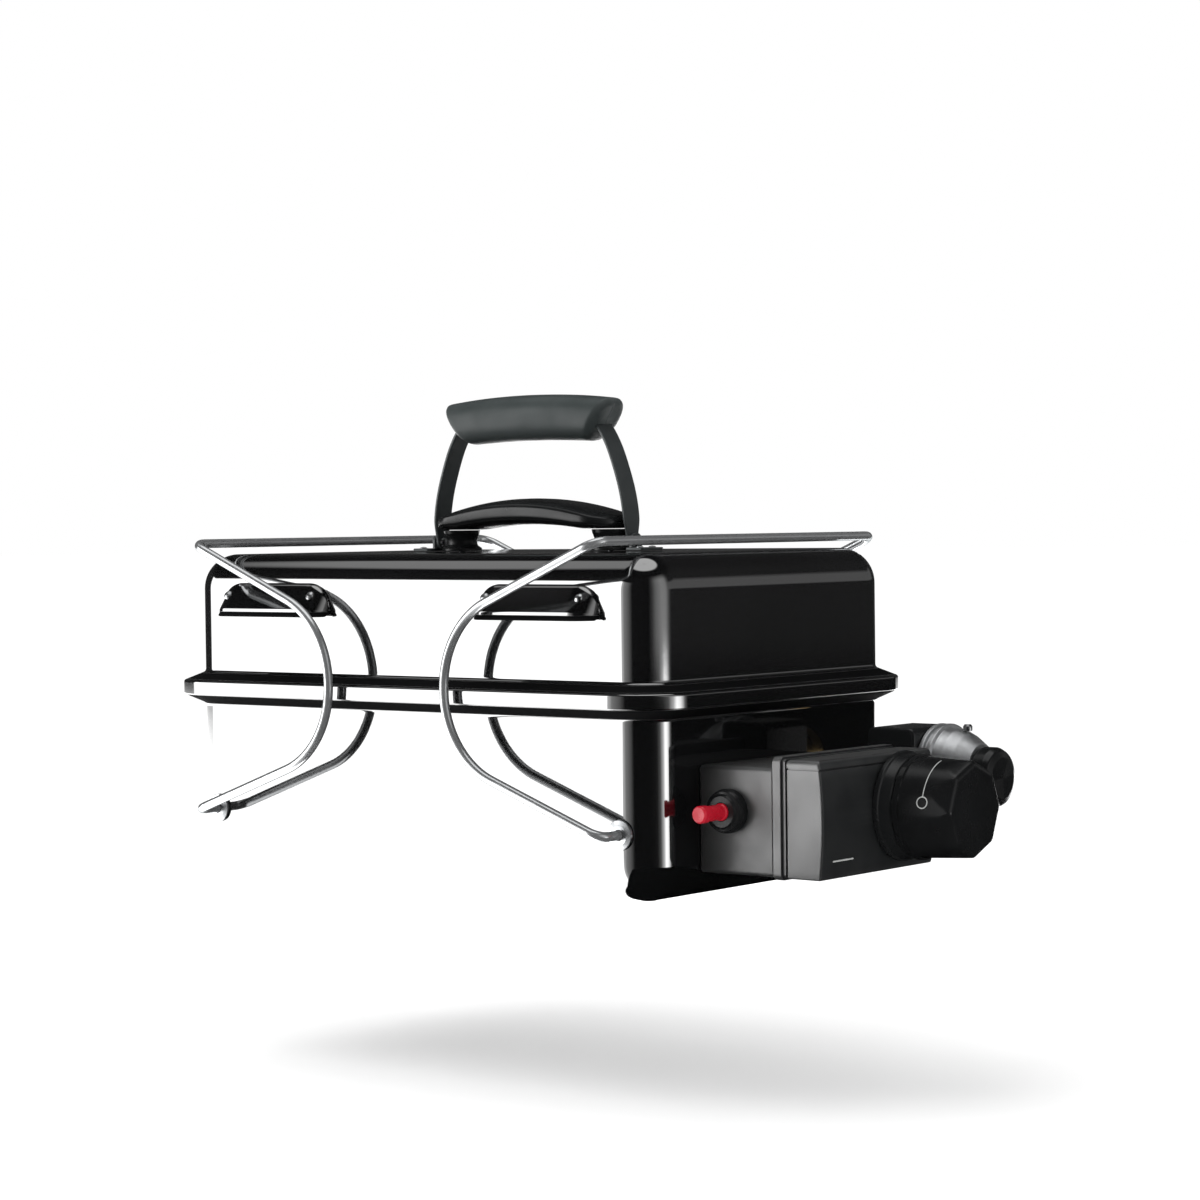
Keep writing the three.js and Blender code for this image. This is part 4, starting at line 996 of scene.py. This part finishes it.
# ---- gas inlet and regulator ----
INLET = (271, 82)
piece("inlet_case", plate(rectangle(19, 24, 5, INLET, 8), BOX_BACK + 2, 96, "Y", 2.2, 5), "satin_black",
      "bowl_body", "inlet_block")
start = 290.4
profile = [(0, start), (31, start, 0.8), (31, start + 3.2, 0.8), (28.8, start + 4, 0.4),
           (28.8, start + 5.4, 0.4), (31, start + 6.2, 0.8), (31, start + 9.2, 0.8), (28.6, start + 10, 0.4),
           (28.4, start + 12, 0.8), (27.6, start + 17, 6), (24.5, start + 24, 10), (20.5, start + 30, 4),
           (18, start + 33.6, 0.6), (0, start + 33.6)]
turned("regulator", profile, 5, "X", (0, REGULATOR_Y, REGULATOR_Z), 80, "die_cast", "bowl_body",
       "regulator_body")
start = 324.4
profile = [(0, start), (19.5, start, 0.8), (20.4, start + 3, 1), (20.4, start + 10, 2.5),
           (18.4, start + 13.8, 3), (14.0, start + 15.6, 2), (0, start + 15.8)]
turned("regulator_lid", profile, 6, "X", (0, REGULATOR_Y, REGULATOR_Z - 4), 72, "knob_black", "bowl_body",
       "regulator_cap")
profile = [(0, 103.6), (3.2, 103.6, 0.2), (3.2, 106.4, 0.8), (2.2, 108, 0.7), (0, 108)]
turned("regulator_screw", profile, 3, "Z", (313, REGULATOR_Y, 0), 32, "plain_steel", "bowl_body",
       "regulator_stud")
thread = []
for k in range(11):
    thread += [(12.7, 117.4 - 1.8 * k), (13.5, 116.5 - 1.8 * k)]
profile = [(18, 96.4), (18, 104), (16.4, 105), (16.4, 118), (12.9, 118)] + thread + [(12.7, 96.4)]
piece("cylinder_socket", lathe(profile, "Y", (INLET[0], 0, INLET[1]), 64, wrap=True), "turned_brass",
      "bowl_body", "cylinder_coupling")


# ---- floor and the screen under the control unit ----
def sheet(name, low, high, z, colour):
    """A flat matt sheet between two corners, in metres; returns it and its shader."""
    (x0, y0), (x1, y1) = low, high
    mesh = bpy.data.meshes.new(name)
    mesh.from_pydata([(x0, y0, z), (x1, y0, z), (x1, y1, z), (x0, y1, z)], [], [(0, 1, 2, 3)])
    made = bpy.data.objects.new(name, mesh)
    bpy.context.scene.collection.objects.link(made)
    material = bpy.data.materials.new(name)
    material.use_nodes = True
    shader = material.node_tree.nodes["Principled BSDF"]
    preset(shader, Base_Color=(colour, colour, colour, 1), Specular_IOR_Level=0.0)
    mesh.materials.append(material)
    return made, shader


def floor():
    made, shader = sheet("floor", (-30.0, -30.0), (30.0, 30.0), -133 * MM, 0.93)
    preset(shader, Roughness=0.9, Emission_Color=(1, 1, 1, 1), Emission_Strength=0.1)
    made.visible_glossy = False


def dark_screen():
    """A black sheet under the control unit, that only mirror-like surfaces see."""
    made, _ = sheet("screen_below", (0.167, -0.30), (0.46, 0.20), -0.010, 0.002)
    made.visible_camera = made.visible_diffuse = made.visible_shadow = False


floor()
dark_screen()

# ---- surroundings ----
# Radiance by azimuth (degrees from the front, towards +X), each with its share by elevation.
CARD = [(-180, 0.02), (-150, 0.02), (-68, 0.02), (-63, 4.8), (-38.0, 4.8), (-36.2, 1.5), (-31, 1.2),
        (-27, 0.62), (-10, 0.24), (-4, 0.08), (0, 0), (180, 0)]
CARD_HEIGHT = [(-90, 1), (22, 1), (24, 0), (90, 0)]
SIDE = [(-180, 0.024), (-140, 0.02), (50, 0.0), (60, 0.1), (72, 0.4), (90, 0.66), (104, 0.6), (116, 0.16),
        (124, 0.026), (180, 0.024)]
SIDE_HEIGHT = [(-90, 0), (-3.2, 0.05), (-2.2, 1), (30, 1), (45, 0), (90, 0)]
STRIP = [(-180, 0), (70, 0), (80, 0.2), (90, 1.6), (97, 4.4), (104, 3.6), (114, 0.4), (120, 0), (180, 0)]
STRIP_HEIGHT = [(-90, 0), (-12, 0), (-9, 1), (-3.2, 1), (-2.2, 0), (90, 0)]
UPPER = [(-180, 0), (-110, 0), (-104, 0.6), (-72, 0.6), (-64, 0), (180, 0)]
UPPER_HEIGHT = [(-90, 0), (43, 0), (45.5, 1), (58, 1), (62, 0), (90, 0)]
BACK = [(-180, 0), (112, 0), (122, 0.2), (165, 0.2), (175, 0), (180, 0)]
BACK_HEIGHT = [(-90, 0), (2.2, 0), (4, 1), (17, 1), (22, 0), (90, 0)]
PATCHES = ((CARD, CARD_HEIGHT), (SIDE, SIDE_HEIGHT), (STRIP, STRIP_HEIGHT), (UPPER, UPPER_HEIGHT),
           (BACK, BACK_HEIGHT))
GROUND = [(-180, 4.2), (-38, 4.2), (-35, 0), (180, 0)]
GROUND_HEIGHT = [(-90, 1), (-3.7, 1), (-3.3, 0), (90, 0)]
OVERHEAD = [(-90, 0.006), (-30, 0.004), (61, 0.006), (65, 1.4), (84, 1.4), (90, 1.2)]  # by elevation alone
SOFT_LIGHT = 1.0


def studio():
    """White surroundings for the eye and for soft light. Glossy surfaces mirror a tall white card at the
    front left, dimmer patches, a light ground and a bright zenith, and darkness elsewhere."""
    world = bpy.data.worlds.new("studio")
    bpy.context.scene.world = world
    world.use_nodes = True
    world.cycles.sampling_method = "NONE"
    tree = world.node_tree
    for node in list(tree.nodes):
        tree.nodes.remove(node)
    add, link = tree.nodes.new, tree.links.new

    def math_node(operation, *values):
        node = add("ShaderNodeMath")
        node.operation = operation
        for socket, value in zip(node.inputs, values):
            if isinstance(value, (int, float)):
                socket.default_value = value
            else:
                link(value, socket)
        return node.outputs[0]

    def ramp(value, limit, stops):
        """Radiance by a direction from -limit to limit: stops are (degrees, radiance)."""
        top = max(v for _, v in stops)
        share = preset(add("ShaderNodeMapRange"), From_Min=-limit, From_Max=limit)
        link(value, share.inputs["Value"])
        node = add("ShaderNodeValToRGB")
        elements = node.color_ramp.elements
        while len(elements) > 1:
            elements.remove(elements[-1])
        for i, (degrees, v) in enumerate(stops):
            place = (degrees + limit) / (2 * limit)
            element = elements[0] if i == 0 else elements.new(place)
            element.position = place
            element.color = (v / top, v / top, v / top, 1)
        link(share.outputs["Result"], node.inputs["Fac"])
        return math_node("MULTIPLY", node.outputs["Color"], top)

    def patch(across, upward):
        return math_node("MULTIPLY", ramp(azimuth, 180, across), ramp(elevation, 90, upward))

    def background(strength):
        return preset(add("ShaderNodeBackground"), Color=(1, 1, 1, 1), Strength=strength)

    def by_ray(kind, others, chosen):
        """The chosen shader for one kind of ray and another for the rest."""
        node = add("ShaderNodeMixShader")
        for source, socket in zip((path.outputs[kind], others, chosen), node.inputs):
            link(source, socket)
        return node.outputs[0]

    split = add("ShaderNodeSeparateXYZ")
    link(add("ShaderNodeTexCoord").outputs["Generated"], split.inputs[0])
    x, y, z = split.outputs
    azimuth = math_node("MULTIPLY", math_node("ARCTAN2", x, math_node("MULTIPLY", y, -1.0)), 180 / math.pi)
    elevation = math_node("MULTIPLY", math_node("ARCSINE", z), 180 / math.pi)

    total = ramp(elevation, 90, OVERHEAD)
    for across, upward in PATCHES:
        total = math_node("ADD", total, patch(across, upward))
    total = math_node("MAXIMUM", total, patch(GROUND, GROUND_HEIGHT))

    path = add("ShaderNodeLightPath")
    mirrored = background(1.0)
    link(total, mirrored.inputs["Strength"])
    lit = by_ray("Is Diffuse Ray", mirrored.outputs[0], background(SOFT_LIGHT).outputs[0])
    seen = by_ray("Is Camera Ray", lit, background(1.0).outputs[0])
    link(seen, add("ShaderNodeOutputWorld").inputs["Surface"])


studio()


def overhead_light():
    """A large soft light above the object, that mirror-like surfaces don't see."""
    place, wide, deep, radiance = Vector((-0.6, -0.5, 2.4)), 2.6, 2.2, 1.6
    light = bpy.data.lights.new("overhead", "AREA")
    light.shape = "RECTANGLE"
    light.size, light.size_y = wide, deep
    light.energy = radiance * math.pi * wide * deep
    made = bpy.data.objects.new("overhead", light)
    bpy.context.scene.collection.objects.link(made)
    made.location = place
    made.rotation_euler = (-place).to_track_quat("-Z", "Y").to_euler()
    made.visible_camera = made.visible_glossy = False


overhead_light()

# ---- camera, at the photograph's viewing angle ----
LENS, SENSOR = 92.5, 36
CAMERA_PLACE = (1.4094, -1.6860, 0.2472)
CAMERA_RIGHT = (0.78059, 0.62492, -0.01204)
CAMERA_UP = (-0.00672, 0.02765, 0.99959)
CAMERA_AHEAD = (-0.625, 0.7802, -0.02579)

camera_data = bpy.data.cameras.new("camera")
camera_data.lens, camera_data.sensor_width = LENS, SENSOR
camera_data.clip_start, camera_data.clip_end = 0.05, 60
camera = bpy.data.objects.new("camera", camera_data)
bpy.context.scene.collection.objects.link(camera)
rows = [(r, u, -a, p) for r, u, a, p in zip(CAMERA_RIGHT, CAMERA_UP, CAMERA_AHEAD, CAMERA_PLACE)]
camera.matrix_world = Matrix(rows + [(0, 0, 0, 1)])
bpy.context.scene.camera = camera
bpy.context.scene.view_settings.view_transform = "Standard"
